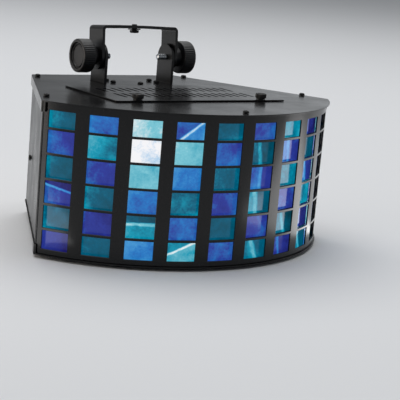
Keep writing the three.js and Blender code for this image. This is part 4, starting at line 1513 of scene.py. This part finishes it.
    def yoke(self) -> None:
        """Bends the yoke, a little bowed in the middle."""
        x, top, corner = self.yoke_outer, self.yoke_top, self.yoke_corner
        right = self.arc((x - corner, top - corner), corner, 90, 0, 10)
        left = [(-a, b) for a, b in reversed(right)]
        flat, soft, high = self.yoke_flat, 1.5 * MM, top + self.yoke_bow
        crown = [
            (-flat - soft, high - 0.1 * MM), (-flat + soft, high), (flat - soft, high),
            (flat + soft, high - 0.1 * MM),
        ]
        path = [(-x, -self.yoke_half)] + left + crown + right + [(x, -self.yoke_half)]
        bm = self.bent_bar(path, self.yoke_half, (True, True))
        placed(bm, Matrix.Translation(self.pivot) @ Matrix.Rotation(-self.lean, 4, "X"))
        finished(bm, "bent_yoke", "yoke", [Finishes.POWDER], ["yoke"], smooth=35)

    def studs(self) -> None:
        """Turns the two threaded studs that the knobs clamp, and their washers."""
        pitch, root = self.thread_pitch, self.thread_root
        for side, name in ((-1, "left"), (1, "right")):
            low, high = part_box("pivot_stud_" + name)
            length = high.x - low.x
            radius = (high.z - low.z) / 2
            profile = [(0, 0), (root, 0)]
            threads = int(length / pitch) - 1
            for i in range(threads):
                crest = [(radius, (i + 0.55) * pitch), (radius, (i + 0.7) * pitch)]
                profile += crest + [(root, (i + 1.1) * pitch)]
            profile += [(root, length), (0, length)]
            stud = placed(turned(profile, 32), self.on_pivot(low.x if side > 0 else high.x, side))
            node = "pivot_stud_" + name
            finished(stud, "threaded_stud_" + name, "housing", [Finishes.ZINC], [node], smooth=60)
            low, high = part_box("knob_washer_" + name)
            rim, thick = (high.z - low.z) / 2, high.x - low.x
            soft = 0.25 * MM
            ring = [
                (3.4 * MM, 0), (rim - soft, 0), (rim, soft), (rim, thick - soft),
                (rim - soft, thick), (3.4 * MM, thick),
            ]
            washer = placed(turned(ring, 48), self.on_pivot(low.x, 1))
            node = "knob_washer_" + name
            finished(washer, "flat_washer_" + name, "housing", [Finishes.OXIDE], [node])

    def knobs(self) -> None:
        """Moulds the two clamp knobs: a ribbed rim, a dished face with a raised ring, and a hub."""
        for side, name in ((-1, "left"), (1, "right")):
            node = "knob_" + name
            low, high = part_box(node)
            inner = high.x if side < 0 else low.x
            face = high.x - low.x
            rim = (high.z - low.z) / 2
            hub = self.knob_hub
            profile = [
                (0, 9.0 * MM), (3.3 * MM, 9.0 * MM), (3.3 * MM, 0.4 * MM), (3.7 * MM, 0),
                (9.1 * MM, 0), (9.5 * MM, 0.4 * MM), (9.5 * MM, hub - 0.8 * MM), (10.3 * MM, hub),
                (rim - 1.6 * MM, hub), (rim - 0.5 * MM, hub + 0.5 * MM), (rim, hub + 1.6 * MM),
                (rim, face - 1.7 * MM), (rim - 0.45 * MM, face - 0.6 * MM), (rim - 1.5 * MM, face),
                (rim - 2.9 * MM, face), (rim - 3.5 * MM, face - 0.5 * MM),
                (rim - 3.9 * MM, face - 2.4 * MM), (12.2 * MM, face - 2.6 * MM),
                (11.8 * MM, face - 1.5 * MM), (11.3 * MM, face - 1.2 * MM),
                (10.8 * MM, face - 1.5 * MM), (10.4 * MM, face - 2.3 * MM),
                (6.0 * MM, face - 2.1 * MM), (0, face - 2.0 * MM),
            ]
            bm = fluted(turned(profile, self.knob_ribs * 4), self.knob_ribs, 0.45 * MM, rim - 0.3 * MM)
            placed(bm, self.on_pivot(inner, side))
            finished(bm, "clamp_" + node, node, [Finishes.NYLON], [node], smooth=48)

    def hanging(self) -> None:
        """Makes the hanging bolt, with its hexagon head below the crossbar, and its washer."""
        tilt = Matrix.Translation(self.pivot) @ Matrix.Rotation(-self.lean, 4, "X")
        top = self.yoke_top + self.yoke_bow
        under = top - self.bar - 1.8 * MM
        head = disc(4.6 * MM, 6, 3 * MM, under - 3 * MM)
        cone = turned(
            [
                (0, under - 3 * MM), (3.5 * MM, under - 3 * MM), (4.9 * MM, under - 2.2 * MM),
                (4.9 * MM, under + 1 * MM), (0, under + 1 * MM),
            ],
            48,
        )
        head = shaped(head, cone, Cut.KEEP_SHARED)
        shank = turned(
            [
                (0, under - 0.5 * MM), (2.8 * MM, under - 0.5 * MM), (2.8 * MM, top + 0.8 * MM),
                (2.3 * MM, top + 1.3 * MM), (0, top + 1.3 * MM),
            ],
            32,
        )
        bolt = shaped(head, shank, Cut.ADD)
        finished(placed(bolt, tilt), "hexagon_bolt", "yoke", [Finishes.OXIDE], ["hanging_bolt"])
        base = top - self.bar - 0.3 * MM - 1.2 * MM
        ring = [
            (3.1 * MM, base), (6.2 * MM, base), (6.5 * MM, base + 0.3 * MM),
            (6.5 * MM, base + 0.9 * MM), (6.2 * MM, base + 1.2 * MM), (3.1 * MM, base + 1.2 * MM),
        ]
        washer = placed(turned(ring, 48), tilt)
        finished(washer, "plain_washer", "yoke", [Finishes.OXIDE], ["hanging_washer"])


@dataclass
class RearPanel:
    """The rear panel with its grille, and the inlet, fuse, dial and fan that it carries.

    The dial's scale starts at dial_start, in degrees from upright, where the pointer rests, and its marks are
    dial_step degrees apart.
    """

    plan: Plan
    fan: Vector = field(default_factory=lambda: Vector((-44 * MM, 0, 92 * MM)))
    grille: float = 26 * MM
    slots: int = 8
    pitch: float = 6.4 * MM
    slot: float = 3.4 * MM
    burr: float = 0.25 * MM
    inlet_flange: float = 4 * MM
    inlet_proud: float = 2.2 * MM
    inlet_wall: float = 3 * MM
    socket_depth: float = 17 * MM
    socket_corner: float = 4.5 * MM
    pin_half: Vector = field(default_factory=lambda: Vector((1 * MM, 14.6 * MM, 2 * MM)))
    pin_spots: tuple[tuple[float, float], ...] = ((-7 * MM, -3 * MM), (0, 3 * MM), (7 * MM, -3 * MM))
    dial_start: float = 135.0
    dial_step: float = 27.0
    dial_marks: int = 11
    fan_screw: float = 25 * MM
    seed: int = 3

    def build(self) -> None:
        """Builds the rear panel's pieces."""
        self.panel()
        self.inlet()
        self.fuse()
        self.dial()
        self.fan_set()

    def panel(self) -> None:
        """Punches the panel."""
        low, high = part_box("rear_panel")
        bm = block(low, high)
        middle = (low.y + high.y) / 2
        tools = []
        for i in range(self.slots):
            lift = (i - (self.slots - 1) / 2) * self.pitch
            reach = math.sqrt(self.grille**2 - lift**2)
            level = Matrix.Rotation(math.pi / 2, 4, "X") @ Matrix.Rotation(math.pi / 2, 4, "Z")
            spot = Matrix.Translation((self.fan.x, middle, self.fan.z + lift))
            tools.append(placed(slot_shape(self.slot, 2 * reach, 6 * MM), spot @ level))
        a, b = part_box("power_inlet")
        rim = self.inlet_flange - self.plan.play
        tools.append(
            block((a.x + rim, low.y - 2 * MM, a.z + rim), (b.x - rim, high.y + 2 * MM, b.z - rim))
        )
        bm = shaped(bm, joined(*tools))
        eased(bm, self.burr, 2, 50)
        finished(bm, "punched_rear_panel", "housing", [Finishes.ENAMEL], ["rear_panel"], smooth=30)

    def inlet(self) -> None:
        """Moulds the power inlet, with its chamfered socket and three brass pins."""
        low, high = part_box("power_inlet")
        flange, proud = self.inlet_flange, self.inlet_proud
        shell = block(
            (low.x + flange, low.y, low.z + flange), (high.x - flange, high.y - proud / 2, high.z - flange)
        )
        plate = block((low.x, high.y - proud, low.z), high)
        eased(plate, 2.5 * MM, 4, wanted=lambda e: span(e, Axis.Y) > proud / 2)
        shell = shaped(shell, plate, Cut.ADD)
        wall = self.inlet_wall + flange
        socket = block(
            (low.x + wall, high.y - self.socket_depth, low.z + wall),
            (high.x - wall, high.y + 4 * MM, high.z - wall),
        )

        def is_upper(edge: BMEdge) -> bool:
            """Picks the socket's two upper corners, which are cut off."""
            return span(edge, Axis.Y) > proud and min(v.co.z for v in edge.verts) > (low.z + high.z) / 2

        eased(socket, self.socket_corner, 1, wanted=is_upper)
        shell = shaped(shell, socket)
        eased(shell, 0.35 * MM, 2, 40)
        finished(shell, "inlet_shell", "housing", [Finishes.NYLON], ["power_inlet"])
        middle = (low + high) / 2
        pins = []
        for x, z in self.pin_spots:
            spot = Vector((middle.x + x, high.y - 2.5 * MM, middle.z + z))
            far = spot + Vector((self.pin_half.x, 0, self.pin_half.z))
            pins.append(eased(block(spot - self.pin_half, far), 0.4 * MM, 2))
        finished(joined(*pins), "inlet_pins", "housing", [Finishes.BRASS])

    @staticmethod
    def facing_back(x: float, y: float, z: float) -> Matrix:
        """Gives the matrix that turns +Z to the rear, at a place."""
        return Matrix.Translation((x, y, z)) @ Matrix.Rotation(-math.pi / 2, 4, "X")

    def fuse(self) -> None:
        """Moulds the fuse holder and its slotted cap."""
        low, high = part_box("fuse_holder")
        x, z = (low.x + high.x) / 2, (low.z + high.z) / 2
        length, rim = high.y - low.y, (high.x - low.x) / 2
        profile = [
            (0, 0), (5.2 * MM, 0), (6 * MM, 0.8 * MM), (6 * MM, length - 1.6 * MM),
            (rim, length - 1.6 * MM), (rim, length - 0.5 * MM), (rim - 0.5 * MM, length),
            (0, length),
        ]
        bm = placed(turned(profile, 48), self.facing_back(x, low.y, z))
        finished(bm, "fuse_body", "housing", [Finishes.NYLON], ["fuse_holder"])
        low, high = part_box("fuse_cap")
        rim, length = (high.x - low.x) / 2, high.y - low.y
        profile = [
            (0, 0), (rim, 0), (rim, length - 1.2 * MM), (rim - 0.4 * MM, length - 0.3 * MM),
            (rim - 1.1 * MM, length), (0, length),
        ]
        cap = fluted(turned(profile, 96), 20, 0.5 * MM, rim - 0.2 * MM)
        groove = block((-rim, -0.7 * MM, length - 1.6 * MM), (rim, 0.7 * MM, length + MM))
        cap = placed(shaped(cap, groove), self.facing_back(x, low.y, z))
        node = "fuse_cap"
        finished(cap, "fuse_screw_cap", node, [Finishes.NYLON], [node], smooth=45)

    def dial(self) -> None:
        """Moulds the sensitivity dial with its white pointer, and paints its scale on the panel."""
        low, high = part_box("sensitivity_dial")
        x, z = (low.x + high.x) / 2, (low.z + high.z) / 2
        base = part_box("rear_panel")[1].y
        seat = self.facing_back(x, base, z)
        rim, height = (high.z - low.z) / 2, high.y - base
        profile = [
            (0, low.y - base), (3 * MM, low.y - base), (3 * MM, 0.3 * MM), (rim, 0.3 * MM),
            (rim, 1.6 * MM), (rim - 0.5 * MM, 2.1 * MM), (rim - 1.2 * MM, height - 0.9 * MM),
            (rim - 1.9 * MM, height - 0.1 * MM), (rim - 2.6 * MM, height), (0, height),
        ]
        knob = placed(fluted(turned(profile, 120), 24, 0.35 * MM, rim - 1.3 * MM), seat)
        node = "sensitivity_dial"
        finished(knob, "dial_knob", node, [Finishes.NYLON], [node], smooth=45)
        tip = block((-0.45 * MM, 1.5 * MM, height - 0.3 * MM), (0.45 * MM, rim - 2.6 * MM, height + 0.1 * MM))
        eased(tip, 0.08 * MM, 1)
        matrix = seat @ Matrix.Rotation(math.radians(self.dial_start), 4, "Z")
        finished(placed(tip, matrix), "dial_pointer", node, [Finishes.PAINT])
        marks = []
        for i in range(self.dial_marks):
            turn = Matrix.Rotation(math.radians(self.dial_start - self.dial_step * i), 4, "Z")
            long = 2.4 * MM if i % 5 == 0 else 1.5 * MM
            mark = block((-0.2 * MM, rim + 1.2 * MM, 0), (0.2 * MM, rim + 1.2 * MM + long, 0.05 * MM))
            marks.append(placed(mark, seat @ turn))
        finished(joined(*marks), "dial_scale", "housing", [Finishes.PAINT])

    def fan_set(self) -> None:
        """Eases the fan's frame and rotor, and adds its four screws."""
        for node, body in (("fan_frame", "housing"), ("fan_rotor", "fan_rotor")):
            bm = eased(solid_copy(node), 0.3 * MM, 2, 50)
            finished(bm, node + "_moulding", body, [Finishes.NYLON], [node], smooth=35)
        pattern = Fixings(self.plan).screw()
        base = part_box("rear_panel")[1].y
        spin = random.Random(self.seed)
        for i, (x, z) in enumerate(((-1, -1), (1, -1), (-1, 1), (1, 1))):
            spot = (self.fan.x + x * self.fan_screw, base + 0.05 * MM, self.fan.z + z * self.fan_screw)
            turn = Matrix.Rotation(spin.uniform(0, math.pi / 2), 4, "Z")
            screw = placed(pattern.copy(), self.facing_back(*spot) @ turn)
            finished(screw, f"fan_screw_{i + 1}", "housing", [Finishes.OXIDE], smooth=50)
        pattern.free()


@dataclass
class LightEngine:
    """What turns and shines inside: motor, lens drum, lamp, transformer and control board.

    The filament hangs in the capsule below the lamp's base, as a coil across the ends of its two leads. The
    transformer's core and coil are given by half their size, and the relay and the cooler by half their plan
    and their whole height.
    """

    drum_floor: float = 38 * MM
    hub_height: float = 8 * MM
    plate: float = 2 * MM
    ring_radius: float = 50 * MM
    ring_wall: float = 6 * MM
    wire: float = 0.25 * MM
    lead_x: float = 3 * MM
    lead_top: float = 9 * MM
    coil_depth: float = 22 * MM
    coil_turns: int = 9
    coil_steps: int = 12
    coil_radius: float = 1.3 * MM
    coil_length: float = 5.4 * MM
    core: Vector = field(default_factory=lambda: Vector((31, 17, 26)) * MM)
    coil: Vector = field(default_factory=lambda: Vector((19, 22, 15)) * MM)
    relay: Vector = field(default_factory=lambda: Vector((11, 8, 20)) * MM)
    post_height: float = 8 * MM
    board_thickness: float = 1.6 * MM
    fins: int = 6
    fin_pitch: float = 2.5 * MM
    fin: float = 1.2 * MM
    cooler_half: Vector = field(default_factory=lambda: Vector((7, 15, 12)) * MM)

    def build(self) -> None:
        """Builds the inner pieces."""
        self.motor()
        self.drum()
        self.lamp()
        self.transformer()
        self.board()

    def motor(self) -> None:
        """Turns the geared motor's can, boss and shaft."""
        low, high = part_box("drive_motor")
        x, y = (low.x + high.x) / 2, (low.y + high.y) / 2
        rim, height = (high.x - low.x) / 2, high.z - low.z
        boss = 3 * MM
        profile = [
            (0, 0), (rim - 1.2 * MM, 0), (rim - 0.3 * MM, 0.4 * MM), (rim, 1.3 * MM),
            (rim, height - boss - 1.3 * MM), (rim - 0.4 * MM, height - boss - 0.4 * MM),
            (rim - 1.4 * MM, height - boss), (6.4 * MM, height - boss),
            (6 * MM, height - boss + 0.4 * MM), (6 * MM, height - 0.4 * MM), (5.6 * MM, height),
            (3.3 * MM, height), (3.3 * MM, height - 2 * MM), (0, height - 2 * MM),
        ]
        bm = placed(turned(profile, 72), Matrix.Translation((x, y, low.z)))
        finished(bm, "motor_can", "housing", [Finishes.ZINC], ["drive_motor"])
        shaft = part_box("drum_base")[0].z
        length, radius = self.drum_floor - shaft, 3 * MM
        profile = [(0, 0), (radius - 0.3 * MM, 0), (radius, 0.3 * MM), (radius, length), (0, length)]
        bm = placed(turned(profile, 32), Matrix.Translation((x, y, shaft)))
        finished(bm, "ground_shaft", "lens_drum", [Finishes.ZINC], ["drum_base"])

    def drum(self) -> None:
        """Turns the drum's base and presses the ribbed glass ring."""
        low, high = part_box("drum_base")
        x, y = (low.x + high.x) / 2, (low.y + high.y) / 2
        rim, height, plate = (high.x - low.x) / 2, self.hub_height + self.plate, self.plate
        profile = [
            (3.3 * MM, 0), (7.6 * MM, 0), (8 * MM, 0.4 * MM), (8 * MM, height - plate - 0.6 * MM),
            (8.6 * MM, height - plate), (rim - 0.3 * MM, height - plate),
            (rim, height - plate + 0.4 * MM), (rim, height - 0.4 * MM), (rim - 0.4 * MM, height),
            (3.3 * MM, height),
        ]
        bm = placed(turned(profile, 96), Matrix.Translation((x, y, self.drum_floor - self.hub_height)))
        finished(bm, "drum_plate", "lens_drum", [Finishes.ZINC], ["drum_base"])
        low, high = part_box("lens_ring")
        height, rim, wall = high.z - low.z, self.ring_radius, self.ring_wall
        profile = [
            (rim - wall, 0), (rim - 0.6 * MM, 0), (rim, 0.6 * MM), (rim, height - 0.6 * MM),
            (rim - 0.6 * MM, height), (rim - wall, height),
        ]
        ring = fluted(turned(profile, 192), 12, 2.7 * MM, rim - wall / 2)
        placed(ring, Matrix.Translation((x, y, low.z)))
        node = "lens_ring"
        finished(ring, "ribbed_lens_ring", "lens_drum", [Finishes.PRESSED], [node], smooth=50)

    def lamp(self) -> None:
        """Makes the capsule lamp, its holder and the folded strip that carries them."""
        bm = eased(solid_copy("lamp_bracket"), 0.3 * MM, 2, 50)
        finished(bm, "lamp_strip", "housing", [Finishes.ZINC], ["lamp_bracket"], smooth=35)
        low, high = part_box("lamp_holder")
        holder = eased(block(low, high), 1.2 * MM, 3)
        finished(holder, "steatite_holder", "housing", [Finishes.STEATITE], ["lamp_holder"])
        low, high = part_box("halogen_lamp")
        x, y = (low.x + high.x) / 2, (low.y + high.y) / 2
        length, bulb = high.z - low.z, 6.4 * MM
        profile = [
            (0, -length), (0.9 * MM, -length + 0.1 * MM), (1.6 * MM, -length + 1.6 * MM),
            (4.2 * MM, -length + 3.0 * MM), (5.9 * MM, -length + 5.2 * MM),
            (bulb, -length + 8 * MM), (bulb, -13 * MM), (5.6 * MM, -10 * MM), (4.2 * MM, -8 * MM),
            (4.0 * MM, -7 * MM), (4.0 * MM, 0), (0, 0),
        ]
        bm = placed(turned(profile, 48), Matrix.Translation((x, y, high.z)))
        finished(bm, "quartz_capsule", "housing", [Finishes.QUARTZ], ["halogen_lamp"])
        wire = self.filament(Vector((x, y, high.z)))
        finished(wire, "coiled_filament", "housing", [Finishes.FILAMENT])

    def filament(self, base: Vector) -> BMesh:
        """Winds the filament between its two leads.

        Args:
            base: The middle of the lamp's base, above the filament.

        Returns:
            The wire's mesh.
        """
        points = [(-self.lead_x, 0, -self.lead_top), (-self.lead_x, 0, -self.coil_depth)]
        steps = self.coil_turns * self.coil_steps
        for i in range(steps + 1):
            angle = i / self.coil_steps * 2 * math.pi
            along = (i / steps - 0.5) * self.coil_length
            lift = self.coil_radius * math.sin(angle) - self.coil_depth
            points.append((along, self.coil_radius * math.cos(angle), lift))
        points += [(self.lead_x, 0, -self.coil_depth), (self.lead_x, 0, -self.lead_top)]
        wire = bpy.data.curves.new("filament", "CURVE")
        wire.dimensions = "3D"
        wire.bevel_depth = self.wire
        wire.bevel_resolution = 2
        spline = wire.splines.new("POLY")
        spline.points.add(len(points) - 1)
        for point, offset in zip(spline.points, points):
            point.co = (*(base + Vector(offset)), 1)
        temporary = bpy.data.objects.new("filament", wire)
        bpy.context.scene.collection.objects.link(temporary)
        graph = bpy.context.evaluated_depsgraph_get()
        mesh = bpy.data.meshes.new_from_object(temporary.evaluated_get(graph))
        bm = bmesh.new()
        bm.from_mesh(mesh)
        bpy.data.objects.remove(temporary)
        bpy.data.curves.remove(wire)
        bpy.data.meshes.remove(mesh)
        return bm

    def transformer(self) -> None:
        """Stacks the transformer's core and winds its coil."""
        low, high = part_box("transformer")
        middle = (low + high) / 2
        stack = eased(block(middle - self.core, middle + self.core), 0.5 * MM, 2)
        winding = eased(block(middle - self.coil, middle + self.coil), 3 * MM, 4)
        finished(stack, "laminated_core", "housing", [Finishes.CORE], ["transformer"])
        finished(winding, "wound_coil", "housing", [Finishes.COIL], ["transformer"])

    def board(self) -> None:
        """Sets the control board on its posts, with a relay, a cooler and a capacitor."""
        low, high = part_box("control_board")
        middle = (low + high) / 2
        base = low.z + self.post_height
        top = base + self.board_thickness
        plate = block((low.x, low.y, base), (high.x, high.y, top))
        eased(plate, 2 * MM, 3, wanted=lambda e: span(e, Axis.Z) > MM)
        finished(plate, "board_plate", "housing", [Finishes.BOARD], ["control_board"])
        posts = []
        for x in (low.x + 6 * MM, high.x - 6 * MM):
            for y in (low.y + 6 * MM, high.y - 6 * MM):
                posts.append(placed(disc(3.2 * MM, 6, self.post_height), Matrix.Translation((x, y, low.z))))
        finished(joined(*posts), "board_posts", "housing", [Finishes.NYLON], ["control_board"])
        width, depth = high.x - low.x, high.y - low.y
        relay_at = Vector((middle.x - width / 4, middle.y - depth / 4, top))
        relay = block(relay_at - Vector((self.relay.x, self.relay.y, 0)), relay_at + self.relay)
        eased(relay, 0.6 * MM, 2)
        finished(relay, "relay", "housing", [Finishes.NYLON], ["control_board"])
        cool_at = Vector((middle.x + width / 4, middle.y - depth / 6, top))
        half = self.cooler_half
        left, front, rear = cool_at.x - half.x, cool_at.y - half.y, cool_at.y + half.y
        right = left + (self.fins - 1) * self.fin_pitch + self.fin
        finned = block((left, front, top), (right, rear, top + 1.5 * MM))
        for i in range(self.fins):
            x = left + i * self.fin_pitch
            finned = shaped(finned, block((x, front, top), (x + self.fin, rear, top + half.z)), Cut.ADD)
        finished(finned, "finned_cooler", "housing", [Finishes.ALUMINIUM], ["control_board"])
        can_at = Vector((middle.x - width / 5, middle.y + depth / 5, top))
        radius, tall = 5.8 * MM, 26 * MM
        profile = [
            (0, 0), (radius - 0.5 * MM, 0), (radius, 0.5 * MM), (radius, 1.6 * MM),
            (radius - 0.4 * MM, 2.1 * MM), (radius, 2.6 * MM), (radius, tall - 0.8 * MM),
            (radius - 0.8 * MM, tall), (0, tall - 0.2 * MM),
        ]
        can = placed(turned(profile, 40), Matrix.Translation(can_at))

        def is_lid(face: BMFace) -> int:
            """Gives 1 for the can's bare top and 0 for its sleeve."""
            return int(face.normal.z > 0.9 and face.calc_center_median().z > top + 10 * MM)

        bare = [Finishes.SLEEVE, Finishes.ALUMINIUM]
        finished(can, "capacitor", "housing", bare, ["control_board"], pick=is_lid)


# Studio


@dataclass
class Panel:
    """A soft light panel, or a card that shows in reflections alone. The turn and the spread are in degrees."""

    name: str
    place: tuple[float, float, float]
    aim: tuple[float, float, float]
    size: tuple[float, float]
    power: float
    colour: str = "#ffffff"
    spread: float = 180.0
    turn: float = 0.0
    gloss_only: bool = False

    def build(self) -> None:
        """Sets the panel up, out of the camera's sight."""
        light = bpy.data.lights.new(self.name, "AREA")
        light.shape = "RECTANGLE"
        light.size, light.size_y = self.size
        light.energy = self.power
        light.spread = math.radians(self.spread)
        light.color = linear(self.colour)[:3]
        lamp = bpy.data.objects.new(self.name, light)
        lamp.location = self.place
        direction = Vector(self.aim) - Vector(self.place)
        turn = Matrix.Rotation(math.radians(self.turn), 3, "Z")
        lamp.rotation_euler = (turn @ direction.to_track_quat("-Z", "Y").to_matrix()).to_euler()
        lamp.visible_camera = False
        lamp.visible_diffuse = not self.gloss_only
        bpy.context.scene.collection.objects.link(lamp)


@dataclass
class Studio:
    """The pale floor, the soft light and the camera.

    The sky is even, but for a brighter side that the gloss of the cover's right part mirrors. It starts where
    the cosine of the angle to that side passes bright_edge. The camera's place and axes were fitted to the
    photograph.
    """

    floor_size: float = 60.0
    panels: tuple[Panel, ...] = (
        Panel("left panel", (-0.66, 0.26, 0.2), (0, 0.03, 0.16), (0.7, 0.36), 0.6, "#fff1e2", spread=100.0),
        Panel("top panel", (0.2, 0.9, 3.2), (0.1, 0.2, 0.1), (4.4, 4.0), 115.0),
        Panel(
            "bright card",
            (0.596, -0.267, 0.004),
            (0.596, -0.267, 1),
            (0.9, 0.28),
            2.7,
            turn=-10.0,
            gloss_only=True,
        ),
        Panel(
            "dim card",
            (0.65, 0.038, 0.004),
            (0.65, 0.038, 1),
            (0.9, 0.34),
            0.5,
            turn=-10.0,
            gloss_only=True,
        ),
        Panel("left card", (-0.62, -0.06, 0.004), (-0.62, -0.06, 1), (0.85, 0.08), 0.55, gloss_only=True),
    )
    sky: str = "#e9edf1"
    bright_side: tuple[float, float, float] = (0.866, 0.5, 0.0)
    bright_edge: float = 0.83
    sky_strength: float = 0.29
    bright_strength: float = 1.0
    sensor_width: float = 36.0
    focal_length: float = 119.4
    camera_place: tuple[float, float, float] = (-0.7247, -1.0949, 0.3101)
    camera_right: tuple[float, float, float] = (0.82417, -0.56027, 0.08309)
    camera_back: tuple[float, float, float] = (-0.5645, -0.80041, 0.20169)

    def build(self) -> None:
        """Builds the studio."""
        bm = bmesh.new()
        bmesh.ops.create_grid(bm, x_segments=1, y_segments=1, size=self.floor_size / 2)
        mesh = bpy.data.meshes.new("floor")
        bm.to_mesh(mesh)
        bm.free()
        mesh.materials.append(Finishes.FLOOR.value.make())
        floor = bpy.data.objects.new("floor", mesh)
        bpy.context.scene.collection.objects.link(floor)
        for panel in self.panels:
            panel.build()
        world = bpy.data.worlds.new("studio")
        world.use_nodes = True
        tree = world.node_tree
        sky = tree.nodes["Background"]
        sky.inputs["Color"].default_value = linear(self.sky)
        towards = add_node(
            tree,
            "ShaderNodeVectorMath",
            {"operation": "DOT_PRODUCT", 1: self.bright_side},
            {0: add_node(tree, "ShaderNodeTexCoord").outputs["Generated"]},
        )
        strength = add_node(
            tree,
            "ShaderNodeMapRange",
            {
                "interpolation_type": "SMOOTHSTEP",
                "From Min": self.bright_edge,
                "From Max": 1.0,
                "To Min": self.sky_strength,
                "To Max": self.bright_strength,
            },
            {"Value": towards.outputs["Value"]},
        )
        tree.links.new(strength.outputs["Result"], sky.inputs["Strength"])
        scene = bpy.context.scene
        scene.world = world
        scene.view_settings.view_transform = "Standard"
        self.camera()

    def camera(self) -> None:
        """Sets the camera at the photograph's angle."""
        lens = bpy.data.cameras.new("camera")
        lens.sensor_width = self.sensor_width
        lens.lens = self.focal_length
        camera = bpy.data.objects.new("camera", lens)
        right = Vector(self.camera_right).normalized()
        back = Vector(self.camera_back)
        back = (back - right * back.dot(right)).normalized()
        up = back.cross(right)
        turn = Matrix((right, up, back)).transposed().to_4x4()
        camera.matrix_world = Matrix.Translation(self.camera_place) @ turn
        bpy.context.scene.collection.objects.link(camera)
        bpy.context.scene.camera = camera


def main() -> None:
    logging.basicConfig(level=logging.INFO, format="%(name)s: %(message)s")
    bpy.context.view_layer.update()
    Studio().build()
    plan = Plan()
    housing = Housing(plan)
    housing.build()
    GlassTiles(housing).build()
    Hatch().build(plan)
    Fixings(plan).build()
    Bracket().build()
    RearPanel(plan).build()
    LightEngine().build()


if __name__ == "__main__":
    main()
